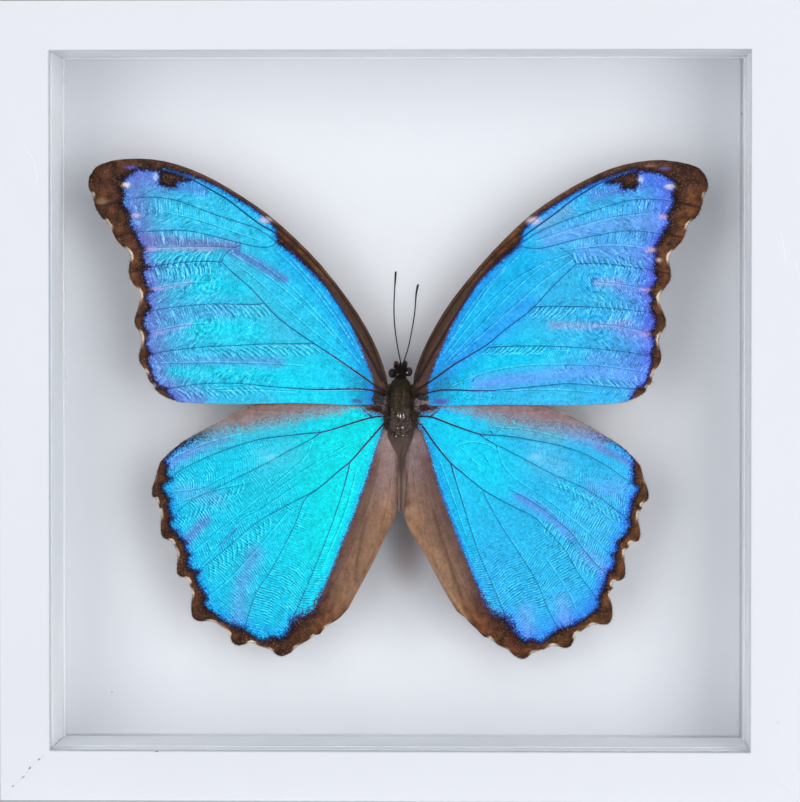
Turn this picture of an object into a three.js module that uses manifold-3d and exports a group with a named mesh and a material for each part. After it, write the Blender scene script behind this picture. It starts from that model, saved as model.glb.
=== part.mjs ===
// Framed butterfly specimen: a square white box frame, glazed at the front, with a spread blue
// butterfly fixed in front of a white mount board. Millimetres, +Z up, the glass faces -Y.
// The origin is the middle of the frame's footprint, on its underside.

import * as THREE from 'three';
import { mergeVertices } from 'three/addons/utils/BufferGeometryUtils.js';
import Module from 'manifold-3d';

const wasm = await Module();
wasm.setup();

// Driving dimensions
const frameSize = 180; // outside width and height
const frameDepth = 40;
const faceWidth = 11.2; // a rail seen from the front
const wallThickness = 7.6; // a rail behind its lip
const lipThickness = 4;
const arrisRadius = 0.6;
const arrisSteps = 3;
const gap = 0.3; // clearance between neighbouring pieces

const glassThickness = 2;
const mountBoardThickness = 2;
const backingThickness = 3;
const backRecess = 1.7; // from the backing board to the rails' back edge
const edgeClearance = 0.4; // round the glass and the boards

const tabLength = 9; // along the rail
const tabReach = 7; // from its root in the rail's slot to its tip on the board
const tabThickness = 0.5;
const tabShoulder = 3.2; // where it starts to narrow, from its root
const tabTipWidth = 2.2;
const tabBite = 2; // how far a tab goes into its rail
const tabOffset = 45; // from the middle of a rail

const hangerLength = 46;
const hangerHeight = 9;
const hangerThickness = 0.4;
const hangerDrop = 14; // its middle below the backing board's top edge
const toothCount = 9;
const toothPitch = 3;
const toothDepth = 1.6;
const nailSpacing = 38;
const nailHeadRadius = 1.7;
const nailHeadThickness = 0.4;
const nailCrownRadius = 1.2; // the flat middle of its domed head
const nailShankRadius = 0.5;
const nailBite = 2; // shank length inside the backing board

const wingThickness = 0.4;
const wingLift = THREE.MathUtils.degToRad(2); // wings rise towards the glass away from the body
const hindwingSetback = 0.8; // the hindwings lie behind the forewings
const thoraxX = -0.25; // the specimen's middle in the frame
const thoraxZ = 88.7;
const thoraxHalf = { x: 2.5, y: 4.4, z: 6.3 };
const thoraxDrop = 0.8; // its own middle below the specimen's
const postRadius = 2.4;
const antennaRadius = 0.18;
const antennaSteps = 16;
const clubRadius = 0.3;
const clubSteps = 3; // the last steps of an antenna are its club

// Sizes that follow
const halfFrame = frameSize / 2;
const frontY = -frameDepth / 2;
const backY = frameDepth / 2;
const rebateHalf = halfFrame - wallThickness;
const paneHalf = rebateHalf - edgeClearance;
const openingHalf = halfFrame - faceWidth;
const glassY = frontY + lipThickness + gap + glassThickness / 2;
const backingY = backY - backRecess - backingThickness / 2;
const mountBoardY = backingY - backingThickness / 2 - gap - mountBoardThickness / 2;
const spacerFront = glassY + glassThickness / 2 + gap;
const spacerBack = mountBoardY - mountBoardThickness / 2 - gap;
const tabY = backingY + backingThickness / 2 + gap + tabThickness / 2;

const colours = {
  lacquer: { color: 0xeaeef5, roughness: 0.45, metalness: 0 },
  glass: { color: 0xdfe8ea, roughness: 0.05, metalness: 0, transparent: true, opacity: 0.25 },
  card: { color: 0xe6e9ef, roughness: 0.9, metalness: 0 },
  fibreboard: { color: 0x8a6a48, roughness: 0.85, metalness: 0 },
  steel: { color: 0xb8bcc0, roughness: 0.35, metalness: 1 },
  foam: { color: 0xdedede, roughness: 0.95, metalness: 0 },
  fur: { color: 0x3a322c, roughness: 0.9, metalness: 0 },
  wing: { color: 0x2eb8f0, roughness: 0.4, metalness: 0.3 },
};

const object = new THREE.Group();

function addMesh(parent, name, geometry, finish) {
  const mesh = new THREE.Mesh(geometry, new THREE.MeshStandardMaterial(colours[finish]));
  mesh.name = name;
  parent.add(mesh);
  return mesh;
}

// A closed three.js geometry as a solid that can be joined and cut, and back again
function toSolid(geometry) {
  const bare = geometry.clone();
  bare.deleteAttribute('normal');
  bare.deleteAttribute('uv');
  const merged = mergeVertices(bare);
  return new wasm.Manifold(new wasm.Mesh({
    numProp: 3,
    vertProperties: new Float32Array(merged.attributes.position.array),
    triVerts: new Uint32Array(merged.index.array),
  }));
}

function toGeometry(solid) {
  const mesh = solid.getMesh();
  const geometry = new THREE.BufferGeometry();
  geometry.setAttribute('position', new THREE.BufferAttribute(mesh.vertProperties, 3));
  geometry.setIndex(new THREE.BufferAttribute(mesh.triVerts, 1));
  geometry.computeVertexNormals();
  return geometry;
}

function box(sizeX, sizeY, sizeZ, x, y, z) {
  return new THREE.BoxGeometry(sizeX, sizeY, sizeZ).translate(x, y, z);
}

// The rail's section: first coordinate from the outside edge inwards, second from the front backwards
function railSection() {
  const section = new THREE.Shape();
  const r = arrisRadius;
  section.moveTo(r, 0);
  section.lineTo(faceWidth - r, 0);
  section.absarc(faceWidth - r, r, r, -Math.PI / 2, 0, false);
  section.lineTo(faceWidth, lipThickness);
  section.lineTo(wallThickness, lipThickness);
  section.lineTo(wallThickness, frameDepth - r);
  section.absarc(wallThickness - r, frameDepth - r, r, 0, Math.PI / 2, false);
  section.lineTo(r, frameDepth);
  section.absarc(r, frameDepth - r, r, Math.PI / 2, Math.PI, false);
  section.lineTo(0, r);
  section.absarc(r, r, r, Math.PI, Math.PI * 1.5, false);
  return section;
}

// The bottom rail, about the frame's centre, with mitred ends and slots for its two tabs
function railGeometry() {
  const endGap = gap / Math.SQRT2;
  const rail = new THREE.ExtrudeGeometry(railSection(), {
    depth: 1, steps: 1, curveSegments: arrisSteps, bevelEnabled: false,
  });
  const place = rail.attributes.position;
  for (let i = 0; i < place.count; i++) {
    const inwards = place.getX(i);
    const halfLength = halfFrame - inwards - endGap;
    const along = (1 - 2 * place.getZ(i)) * halfLength;
    place.setXYZ(i, along, frontY + place.getY(i), inwards - halfFrame);
  }
  let solid = toSolid(rail);
  const slotDepth = tabBite + gap;
  for (const side of [-1, 1]) {
    const slot = box(
      tabLength + 2 * gap, tabThickness + 2 * gap, 2 * slotDepth,
      side * tabOffset, tabY, -rebateHalf,
    );
    solid = solid.subtract(toSolid(slot));
  }
  return toGeometry(solid);
}

// A tab of the bottom rail: a flat steel point that narrows towards its tip on the board
function tabGeometry() {
  const root = -rebateHalf - tabBite;
  const outline = new THREE.Shape([
    new THREE.Vector2(-tabLength / 2, root),
    new THREE.Vector2(tabLength / 2, root),
    new THREE.Vector2(tabLength / 2, root + tabShoulder),
    new THREE.Vector2(tabTipWidth / 2, root + tabReach),
    new THREE.Vector2(-tabTipWidth / 2, root + tabReach),
    new THREE.Vector2(-tabLength / 2, root + tabShoulder),
  ]);
  return plate(outline, tabThickness).translate(0, tabY, 0);
}

// An outline in X and Z with its thickness shared evenly either side of Y = 0
function plate(outline, thickness) {
  const geometry = new THREE.ExtrudeGeometry(outline, { depth: thickness, steps: 1, bevelEnabled: false });
  return geometry.translate(0, 0, -thickness / 2).rotateX(Math.PI / 2);
}

function addFrame() {
  const frame = new THREE.Group();
  frame.position.z = halfFrame;
  object.add(frame);

  const rail = railGeometry();
  const tab = tabGeometry();
  ['bottom', 'left', 'top', 'right'].forEach((side, turn) => {
    const angle = turn * Math.PI / 2;
    addMesh(frame, `rail_${side}`, rail, 'lacquer').rotation.y = angle;
    [-1, 1].forEach((end, place) => {
      const shifted = tab.clone().translate(end * tabOffset, 0, 0);
      addMesh(frame, `tab_${2 * turn + place + 1}`, shifted, 'steel').rotation.y = angle;
    });
  });

  addMesh(frame, 'glass_pane', box(2 * paneHalf, glassThickness, 2 * paneHalf, 0, glassY, 0), 'glass');

  const spacerDepth = spacerBack - spacerFront;
  const spacerY = (spacerBack + spacerFront) / 2;
  const spacerThickness = paneHalf - openingHalf;
  const spacerMiddle = (paneHalf + openingHalf) / 2;
  const sideLength = 2 * (openingHalf - gap);
  for (const [side, sign] of [['bottom', -1], ['top', 1]]) {
    const strip = box(2 * paneHalf, spacerDepth, spacerThickness, 0, spacerY, sign * spacerMiddle);
    addMesh(frame, `spacer_${side}`, strip, 'card');
  }
  for (const [side, sign] of [['left', -1], ['right', 1]]) {
    const strip = box(spacerThickness, spacerDepth, sideLength, sign * spacerMiddle, spacerY, 0);
    addMesh(frame, `spacer_${side}`, strip, 'card');
  }

  const mountBoard = box(2 * paneHalf, mountBoardThickness, 2 * paneHalf, 0, mountBoardY, 0);
  addMesh(frame, 'mount_board', mountBoard, 'card');
  addBacking(frame);
}

// The backing board with its sawtooth hanger and the two nails that hold it
function addBacking(frame) {
  const hangerZ = paneHalf - hangerDrop;
  const backingFace = backingY + backingThickness / 2;
  const hangerY = backingFace + 2 * gap + hangerThickness / 2;
  const headBottom = hangerY + hangerThickness / 2 + gap;
  const holeRadius = nailShankRadius + gap;
  let board = toSolid(box(2 * paneHalf, backingThickness, 2 * paneHalf, 0, backingY, 0));

  const outline = new THREE.Shape();
  outline.moveTo(-hangerLength / 2, hangerZ + hangerHeight / 2);
  outline.lineTo(-hangerLength / 2, hangerZ - hangerHeight / 2);
  outline.lineTo(-toothCount * toothPitch / 2, hangerZ - hangerHeight / 2);
  for (let tooth = 0; tooth < toothCount; tooth++) {
    const start = (tooth - toothCount / 2) * toothPitch;
    outline.lineTo(start + toothPitch / 2, hangerZ - hangerHeight / 2 + toothDepth);
    outline.lineTo(start + toothPitch, hangerZ - hangerHeight / 2);
  }
  outline.lineTo(hangerLength / 2, hangerZ - hangerHeight / 2);
  outline.lineTo(hangerLength / 2, hangerZ + hangerHeight / 2);

  const nailProfile = [
    [0, backingFace - nailBite],
    [nailShankRadius, backingFace - nailBite + nailShankRadius],
    [nailShankRadius, headBottom],
    [nailHeadRadius, headBottom],
    [nailHeadRadius, headBottom + nailHeadThickness / 2],
    [nailCrownRadius, headBottom + nailHeadThickness],
    [0, headBottom + nailHeadThickness],
  ].map(([radius, height]) => new THREE.Vector2(radius, height));

  for (const [side, sign] of [['left', -1], ['right', 1]]) {
    const x = sign * nailSpacing / 2;
    const hole = new THREE.Path();
    hole.absarc(x, hangerZ, holeRadius, 0, 2 * Math.PI, true);
    outline.holes.push(hole);
    const nailSocket = new THREE.CylinderGeometry(holeRadius, holeRadius, 2 * (nailBite + gap), 12);
    board = board.subtract(toSolid(nailSocket.translate(x, backingFace, hangerZ)));
    const nail = new THREE.LatheGeometry(nailProfile, 16).translate(x, 0, hangerZ);
    addMesh(frame, `hanger_nail_${side}`, nail, 'steel');
  }
  addMesh(frame, 'backing_board', toGeometry(board), 'fibreboard');
  const hanger = new THREE.ExtrudeGeometry(outline, {
    depth: hangerThickness, steps: 1, curveSegments: 6, bevelEnabled: false,
  });
  hanger.translate(0, 0, -hangerThickness / 2).rotateX(Math.PI / 2).translate(0, hangerY, 0);
  addMesh(frame, 'sawtooth_hanger', hanger, 'steel');
}

// Wing outlines, in X and Z about the middle of the thorax. The front and hind edges are smooth
// curves through a few points; the outer margin is scalloped, with a notch at the end of each cell.
const wings = {
  forewing_left: {
    front: [
      [-2.9, 3.4], [-3.2, 6.5], [-5, 12], [-7.9, 17.9], [-12, 24.2], [-18, 31.9], [-24, 38.1],
      [-30, 43.4], [-36, 47.6], [-42, 51.2], [-48, 54], [-54, 55.8], [-60, 56.4], [-66, 55.9],
      [-69.5, 54.5],
    ],
    outer: [
      [-70.2, 53.8], [-70.6, 53], [-71.2, 52.2], [-71.3, 50.2], [-70.9, 49], [-70.3, 48.3],
      [-70.1, 46.8], [-69.4, 44.6], [-68, 42.6], [-67.3, 42.3], [-66.3, 41], [-65.9, 39.7],
      [-65, 37.9], [-63.5, 36.3], [-62.8, 35.9], [-61.8, 34.9], [-61.5, 33.7], [-61.9, 32.6],
      [-62.1, 30.2], [-61.4, 28.3], [-60.6, 27.2], [-59.6, 26.1], [-59.3, 25.1], [-59.7, 23.4],
      [-60.3, 21.3], [-60.85, 19.4], [-60.6, 18.2], [-60, 17.3], [-59.3, 16.3], [-59.1, 14.8],
      [-59.6, 12.4], [-59.8, 10.6], [-59.4, 9.5], [-58.7, 8.5], [-58, 7.6], [-57.7, 6.1],
      [-57, 5.1], [-56.3, 4.4], [-55.9, 3.4], [-54.3, 2.2], [-52.3, 1.3],
    ],
    hind: [[-49.8, 0.65], [-44, 0.35], [-38, 0.2], [-24, 0.5], [-12, 0.05], [-5, 0.2], [-2.9, 0.6]],
  },
  forewing_right: {
    front: [
      [2.9, 3.4], [3.1, 7], [5, 12.2], [8, 18.2], [12, 24.4], [18, 31.8], [24, 38.2], [30, 43.7],
      [36, 47.9], [42, 51.3], [48, 54], [54, 55.5], [60, 55.95], [66, 54.95], [68.2, 54],
    ],
    outer: [
      [69, 53], [69.6, 52.2], [70.15, 50.3], [69.9, 49], [69.2, 48.1], [69, 46.8], [68.4, 44.5],
      [67.3, 42.8], [66.5, 42.2], [65.4, 41.1], [65.1, 39.8], [64.2, 37.6], [62.5, 35.6],
      [61.4, 34.6], [61.1, 33.4], [61.6, 31], [61.7, 29.2], [61.1, 27.9], [59.9, 26.3],
      [59, 25.2], [59, 24], [59.7, 21.9], [60.55, 19.6], [60.4, 18], [59.8, 17], [59, 15.9],
      [58.85, 14.5], [59.4, 12.2], [59.55, 10.6], [59, 9.1], [58, 8], [57.4, 6.7], [57.4, 5.4],
      [56.8, 4.8], [56.2, 4.2], [55.9, 3.2], [54.4, 2.1], [52, 1.1],
    ],
    hind: [[49.5, 0.55], [45, 0.2], [38, 0], [26, 0.1], [16, 0], [10, -0.2], [5, 0.1], [2.9, 0.6]],
  },
  hindwing_left: {
    front: [
      [-2.9, -2.4], [-8, 0.6], [-18, 2.6], [-26, 2.2], [-33, 0.2], [-38, -2], [-44, -5.2],
      [-50, -8.4], [-53.2, -11.1], [-55, -12.9],
    ],
    outer: [
      [-55.6, -14.6], [-56.2, -17], [-56.9, -19], [-56.8, -20.9], [-55.9, -21.3], [-55.5, -22.6],
      [-55.3, -23.5], [-54.9, -23.9], [-54.7, -25.4], [-55, -27.5], [-54.8, -29.8], [-53.7, -30.7],
      [-52.3, -31], [-51.8, -32.2], [-51, -33.8], [-51.2, -36.2], [-51.2, -38.6], [-50, -39.4],
      [-48.5, -39.9], [-48.3, -41.3], [-47.6, -43], [-48, -45.5], [-47.8, -48.4], [-46.3, -49.5],
      [-44.2, -49.4], [-42.6, -49.7], [-40.6, -51], [-39.2, -52.3], [-38.7, -54.2], [-37.2, -55.1],
      [-35.2, -54.6], [-34.2, -54.2], [-32.5, -55.1], [-29.8, -56], [-28.8, -56.9], [-27.3, -57.6],
      [-25.1, -56.7], [-24.2, -55.5], [-21.3, -53.9], [-20, -52.8], [-18.5, -52.5], [-17.2, -50.8],
      [-15.5, -49.8], [-13.8, -48.6],
    ],
    hind: [
      [-12, -46.6], [-9.5, -42], [-6.8, -37], [-4.5, -32.3], [-2.5, -28.2], [-1, -25],
      [-0.4, -20], [-0.3, -12], [-0.9, -9.2], [-2.9, -7.2],
    ],
  },
  hindwing_right: {
    front: [
      [2.9, -2.4], [8, 0.6], [18, 2.6], [26, 1.9], [34, -0.6], [38, -2.2], [44, -5.3], [50, -9],
      [53, -11.6], [54.8, -13.8],
    ],
    outer: [
      [55.3, -15.6], [55.8, -17.4], [56.6, -19.3], [56.65, -21.2], [55.9, -22], [55, -22.6],
      [55.2, -23.5], [54.4, -24.3], [54.2, -25.6], [54.7, -27.8], [54.8, -30], [54.2, -31.1],
      [52.5, -31.2], [52.1, -32.5], [51.1, -33.2], [51.1, -34.6], [51.4, -37.4], [51.2, -39.3],
      [50, -40.1], [48.6, -40.1], [48.3, -40.9], [48.5, -41.8], [48, -42.6], [47.9, -43.6],
      [48.4, -46], [48.4, -48.6], [47.4, -50], [45.3, -50], [43.6, -50.1], [41.5, -51.6],
      [40, -52.2], [39.7, -53.6], [39, -55.1], [37.5, -55.5], [35, -54.8], [33, -55.7],
      [30.3, -56.5], [29.3, -57.4], [28, -58.1], [26, -57.3], [24.6, -56], [22.3, -54.8],
      [20.6, -53.3], [19.2, -53.1], [17.6, -51.5], [16.1, -50.1], [14.8, -48.7],
    ],
    hind: [
      [13, -47.3], [11.4, -44.8], [9, -40.6], [6, -35], [3, -30.4], [1.3, -27], [0.5, -23],
      [0.3, -18], [0.3, -12], [0.9, -9.2], [2.9, -7.2],
    ],
  },
};
const smoothSteps = 2; // segments between two points of a front or hind edge
const marginSteps = 2; // and of an outer margin

function throughPoints(points, steps) {
  const curve = new THREE.SplineCurve(points.map(([x, z]) => new THREE.Vector2(x, z)));
  return curve.getPoints(steps * (points.length - 1));
}

function wingGeometry({ front, outer, hind }) {
  const outline = [
    ...throughPoints(front, smoothSteps),
    ...throughPoints([front.at(-1), ...outer, hind[0]], marginSteps).slice(1, -1),
    ...throughPoints(hind, smoothSteps),
  ];
  return plate(new THREE.Shape(outline), wingThickness);
}

function ellipsoid(halfX, halfY, halfZ, x, y, z) {
  return toSolid(new THREE.SphereGeometry(1, 20, 14).scale(halfX, halfY, halfZ).translate(x, y, z));
}

// Head, eyes and the two swellings of the thorax, joined; the abdomen is missing
function bodyGeometry() {
  let body = ellipsoid(thoraxHalf.x, thoraxHalf.y, thoraxHalf.z, 0, 0, -thoraxDrop);
  body = body.add(ellipsoid(2, 3, 2.6, 0, -0.2, 4.6)); // neck and collar
  body = body.add(ellipsoid(1.7, 1.9, 1.7, 0.1, -0.3, 7.6)); // head
  body = body.add(ellipsoid(0.85, 1.2, 1.1, -1.75, -0.3, 7.4)); // left eye
  body = body.add(ellipsoid(0.85, 1.2, 1.1, 1.95, -0.3, 7.7)); // right eye
  return toGeometry(body);
}

// An antenna: a thin shaft that ends in a slim club
function antennaGeometry(route) {
  const curve = new THREE.CatmullRomCurve3(route.map((point) => new THREE.Vector3(...point)));
  const section = new THREE.Shape();
  section.absarc(0, 0, 1, 0, 2 * Math.PI, false);
  const shaft = new THREE.ExtrudeGeometry(section, {
    steps: antennaSteps, curveSegments: 3, bevelEnabled: false, extrudePath: curve,
  });
  // The section is 1 mm in radius, and each ring of it is drawn in round the curve to the real radius
  const place = shaft.attributes.position;
  const point = new THREE.Vector3();
  const stations = curve.getSpacedPoints(antennaSteps);
  for (let i = 0; i < place.count; i++) {
    point.fromBufferAttribute(place, i);
    const distances = stations.map((station) => station.distanceTo(point));
    const nearest = distances.indexOf(Math.min(...distances));
    const radius = nearest > antennaSteps - clubSteps ? clubRadius : antennaRadius;
    point.lerp(stations[nearest], 1 - radius);
    place.setXYZ(i, point.x, point.y, point.z);
  }
  return shaft;
}

function addSpecimen() {
  const specimen = new THREE.Group();
  specimen.position.set(thoraxX, 0, thoraxZ);
  object.add(specimen);

  addMesh(specimen, 'butterfly_body', bodyGeometry(), 'fur');
  for (const [name, edges] of Object.entries(wings)) {
    const wing = addMesh(specimen, name, wingGeometry(edges), 'wing');
    wing.rotation.z = name.endsWith('left') ? wingLift : -wingLift;
    wing.position.y = name.startsWith('hind') ? hindwingSetback : 0;
  }

  const leftRoute = [[0, -0.9, 9.6], [-0.75, -1.4, 14], [-1.35, -2, 19], [-1.4, -2.4, 24], [-1, -2.8, 30.6]];
  const rightRoute = [
    [0.9, -0.9, 9.7], [2, -1.4, 14], [3.2, -2, 20.5], [3.65, -2.4, 25.5], [4.1, -2.6, 27.7],
  ];
  addMesh(specimen, 'antenna_left', antennaGeometry(leftRoute), 'fur');
  addMesh(specimen, 'antenna_right', antennaGeometry(rightRoute), 'fur');

  // A post of foam from the mount board to the underside of the thorax
  const postTop = thoraxHalf.y + gap;
  const postLength = spacerBack - postTop;
  const post = new THREE.CylinderGeometry(postRadius, postRadius, postLength, 20);
  addMesh(specimen, 'specimen_post', post.translate(0, postTop + postLength / 2, -thoraxDrop), 'foam');
}

addFrame();
addSpecimen();

export default object;
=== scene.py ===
import math
import random
import bmesh
import bpy
import numpy as np
from mathutils import Matrix, Vector
from mathutils.bvhtree import BVHTree


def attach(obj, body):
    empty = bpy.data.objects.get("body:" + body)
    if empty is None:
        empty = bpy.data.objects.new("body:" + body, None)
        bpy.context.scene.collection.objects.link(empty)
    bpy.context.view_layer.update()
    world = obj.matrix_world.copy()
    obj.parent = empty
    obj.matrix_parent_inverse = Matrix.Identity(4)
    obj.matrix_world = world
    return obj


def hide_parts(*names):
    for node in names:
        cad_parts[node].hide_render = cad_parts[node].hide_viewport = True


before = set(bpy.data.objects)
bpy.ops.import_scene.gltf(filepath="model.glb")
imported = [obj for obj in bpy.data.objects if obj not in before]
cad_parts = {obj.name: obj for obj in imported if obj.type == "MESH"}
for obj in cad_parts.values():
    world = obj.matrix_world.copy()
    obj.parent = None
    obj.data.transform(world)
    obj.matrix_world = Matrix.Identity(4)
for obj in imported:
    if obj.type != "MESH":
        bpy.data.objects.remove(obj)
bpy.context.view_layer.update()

mm = 0.001
frameHalf = 90.0  # mm, half of the outside width
frameFront = -20.0
near = 0.01  # mm, nearer than this is the same place
specimenPlace = Vector((-0.25, 0.0, 88.7))  # mm, middle of the thorax in the frame
print("frame loaded:", len(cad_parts), "nodes")


def linear(hexColour):  # sRGB hex to linear RGBA
    parts = [int(hexColour[i:i + 2], 16) / 255 for i in (1, 3, 5)]
    return [c / 12.92 if c <= 0.04045 else ((c + 0.055) / 1.055) ** 2.4 for c in parts] + [1.0]


def addNode(tree, kind, links=None, **settings):  # links: input name or number to value or socket
    node = tree.nodes.new(kind)
    for name, value in settings.items():
        setattr(node, name, value)
    for slot, value in (links or {}).items():
        if isinstance(value, bpy.types.NodeSocket):
            tree.links.new(value, node.inputs[slot])
        else:
            node.inputs[slot].default_value = value
    return node


# What a word of a recipe adds: its node, settings, inputs in order and output. Any other word is an
# operation of the Math node.
recipeWords = {
    "noise": ("ShaderNodeTexNoise", {}, ("Vector", "Scale", "Detail", "Distortion", "Roughness"), 0),
    "cells": ("ShaderNodeTexVoronoi", {}, ("Vector", "Scale"), 0),
    "tiles": ("ShaderNodeTexVoronoi", {}, ("Vector", "Scale"), 1),
    "bands": ("ShaderNodeTexWave", {"bands_direction": "Z"}, ("Vector", "Scale", "Distortion"), 1),
    "stretched": ("ShaderNodeMapping", {}, ("Vector", "Scale"), 0),
    "place": ("ShaderNodeCombineXYZ", {}, (0, 1), 0),
    "centred": ("ShaderNodeVectorMath", {"operation": "MULTIPLY_ADD"}, (0, 1, 2), 0),
    "length": ("ShaderNodeVectorMath", {"operation": "LENGTH"}, (0,), 1),
    "tinted": ("ShaderNodeVectorMath", {"operation": "MULTIPLY"}, (0, 1), 0),
    "scaled": ("ShaderNodeVectorMath", {"operation": "SCALE"}, (0, "Scale"), 0),
    "red": ("ShaderNodeSeparateColor", {}, (0,), 0),
    "range": ("ShaderNodeMapRange", {}, (0, 1, 2, 3, 4), 0),
    "eased": ("ShaderNodeMapRange", {"interpolation_type": "SMOOTHSTEP"}, (0, 1, 2, 3, 4), 0),
    "fading": ("ShaderNodeMapRange", {"interpolation_type": "SMOOTHERSTEP"}, (0, 1, 2, 3, 4), 0),
    "blend": ("ShaderNodeMix", {"data_type": "RGBA"}, (0, 6, 7), 2),
    "stained": ("ShaderNodeMix", {"data_type": "RGBA", "blend_type": "MULTIPLY"}, (0, 6, 7), 2),
    "stops": ("ShaderNodeValToRGB", {}, (0,), 0),
    "bump": ("ShaderNodeBump", {}, ("Height", "Strength", "Distance"), 0),
    "pitted": ("ShaderNodeBump", {"invert": True}, ("Height", "Strength", "Distance"), 0),
}


def newMaterial(name, fixed, recipe=(), layers=()):
    # fixed holds the shader's constants, and layers are values painted on the mesh. A row of the recipe
    # is the value it makes, its word and what goes in. One named for an input of the shader is linked.
    material = bpy.data.materials.new(name)
    material.use_nodes = True
    tree = material.node_tree
    surface = tree.nodes["Principled BSDF"]
    for slot, value in fixed.items():
        surface.inputs[slot].default_value = linear(value) if isinstance(value, str) else value
    made = {}
    if recipe:
        made["coords"] = addNode(tree, "ShaderNodeTexCoord").outputs["Object"]
    for layer in layers:
        node = addNode(tree, "ShaderNodeAttribute", attribute_name=layer)
        made[layer] = node.outputs["Color" if layer.endswith("Tint") else "Fac"]
    for result, word, *parts in recipe:
        calculation = ("ShaderNodeMath", {"operation": word}, (0, 1, 2), 0)
        kind, settings, slots, output = recipeWords.get(word, calculation)
        links = {}
        for slot, part in zip(slots, parts):
            if isinstance(part, str):
                part = linear(part) if part[0] == "#" else made[part]
            links[slot] = part
        node = addNode(tree, kind, links, **settings)
        if word == "stops":
            stops = node.color_ramp.elements
            while len(stops) < len(parts[1]):
                stops.new(0.5)
            for stop, (at, colour) in zip(stops, parts[1]):
                stop.position = at
                stop.color = linear(colour)
        made[result] = node.outputs[output]
        if result in surface.inputs:
            tree.links.new(made[result], surface.inputs[result])
    return material


def addObject(name, data):
    thing = bpy.data.objects.new(name, data)
    bpy.context.scene.collection.objects.link(thing)
    return thing


def finishPiece(mesh, name, material, replaced=(), smooth=True):
    piece = addObject(name, mesh)
    for one in material if isinstance(material, list) else [material]:
        mesh.materials.append(one)
    for face in mesh.polygons:
        face.use_smooth = smooth
    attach(piece, "root")
    if replaced:
        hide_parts(*replaced)
    return piece


def toMesh(bm, name):
    mesh = bpy.data.meshes.new(name)
    bm.to_mesh(mesh)
    bm.free()
    return mesh


def finishMm(bm, name, material, replaced=(), smooth=False):  # for a piece drawn in mm
    bmesh.ops.scale(bm, verts=bm.verts, vec=(mm, mm, mm))
    finishPiece(toMesh(bm, name), name, material, replaced, smooth)


def addBox(bm, low, high):
    low, high = Vector(low), Vector(high)
    corners = bmesh.ops.create_cube(bm, size=1.0)["verts"]
    bmesh.ops.scale(bm, verts=corners, vec=high - low)
    bmesh.ops.translate(bm, verts=corners, vec=(high + low) / 2)


def easeEdges(bm, edges, size, segments=2):
    bmesh.ops.bevel(bm, geom=edges, offset=size, segments=segments, profile=0.5, affect="EDGES", material=-1)


def turnSide(bm, turn):  # from the bottom side of the frame, drawn about its middle, to its own side
    quarter = Matrix.Rotation(turn * math.pi / 2, 3, "Y")
    bmesh.ops.rotate(bm, verts=bm.verts, cent=(0, 0, 0), matrix=quarter)
    bmesh.ops.translate(bm, verts=bm.verts, vec=(0, 0, frameHalf))


def smoothPath(points, step):  # Catmull-Rom through the points, resampled about every step
    pts = np.array(points, float)
    ends = np.vstack([2 * pts[0] - pts[1], pts, 2 * pts[-1] - pts[-2]])
    out = []
    for a, b, c, d in zip(ends, ends[1:], ends[2:], ends[3:]):
        count = max(1, int(round(np.linalg.norm(c - b) / step)))
        for t in np.arange(count) / count:
            out.append(0.5 * (2 * b + (c - a) * t + (2 * a - 5 * b + 4 * c - d) * t ** 2
                              + (3 * b - a - 3 * c + d) * t ** 3))
    out.append(pts[-1])
    return np.array(out)


def toSegments(points, lines):  # distance to the nearest line, and the same with the side as its sign
    best = np.full(len(points), 1e9)
    side = np.zeros(len(points))
    for line in lines:
        line = np.array(line, float)
        if len(line) == 1:
            line = np.vstack([line, line + (0, 1e-6)])
        for a, b in zip(line, line[1:]):
            along = b - a
            t = np.clip((points - a) @ along / (along @ along + 1e-18), 0, 1)
            away = points - a - t[:, None] * along
            gap = np.linalg.norm(away, axis=1)
            nearer = gap < best
            best[nearer] = gap[nearer]
            turn = along[0] * away[:, 1] - along[1] * away[:, 0]
            side[nearer] = np.sign(turn[nearer])
    return best, best * side


def inside(points, ring):
    x, z = points.T
    found = np.zeros(len(points), bool)
    ring = np.array(ring, float)
    for (xa, za), (xb, zb) in zip(ring, np.roll(ring, -1, axis=0)):
        if za != zb:
            crosses = (za > z) != (zb > z)
            found ^= crosses & (x < (xb - xa) * (z - za) / (zb - za) + xa)
    return found


def signedDistance(points, ring):  # positive inside
    closed = list(ring) + [ring[0]]
    return toSegments(points, [closed])[0] * np.where(inside(points, ring), 1, -1)


cameraPlan = {"place": (29.9, -1020, 112.3), "aim": (0.2, -20, 90.1), "sensor": 36.0, "lens": 200.1}


def addCamera(plan):
    data = bpy.data.cameras.new("camera")
    data.sensor_width = plan["sensor"]
    data.lens = plan["lens"]
    camera = addObject("camera", data)
    camera.location = Vector(plan["place"]) * mm
    camera.rotation_euler = (Vector(plan["aim"]) * mm - camera.location).to_track_quat("-Z", "Y").to_euler()
    bpy.context.scene.camera = camera


lightPlan = {
    "left": {"place": (-600, -1030, 100), "size": (620, 1500), "watts": 5.7, "colour": "#ffffff"},
    "right": {"place": (610, -1030, 100), "size": (620, 1500), "watts": 7.25, "colour": "#ffffff"},
    "behind": {"place": (500, 1100, 600), "size": (900, 900), "watts": 9.0, "colour": "#ffffff"},
}
worldPlan = {"colour": "#e8eaee", "strength": 0.34}


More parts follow.
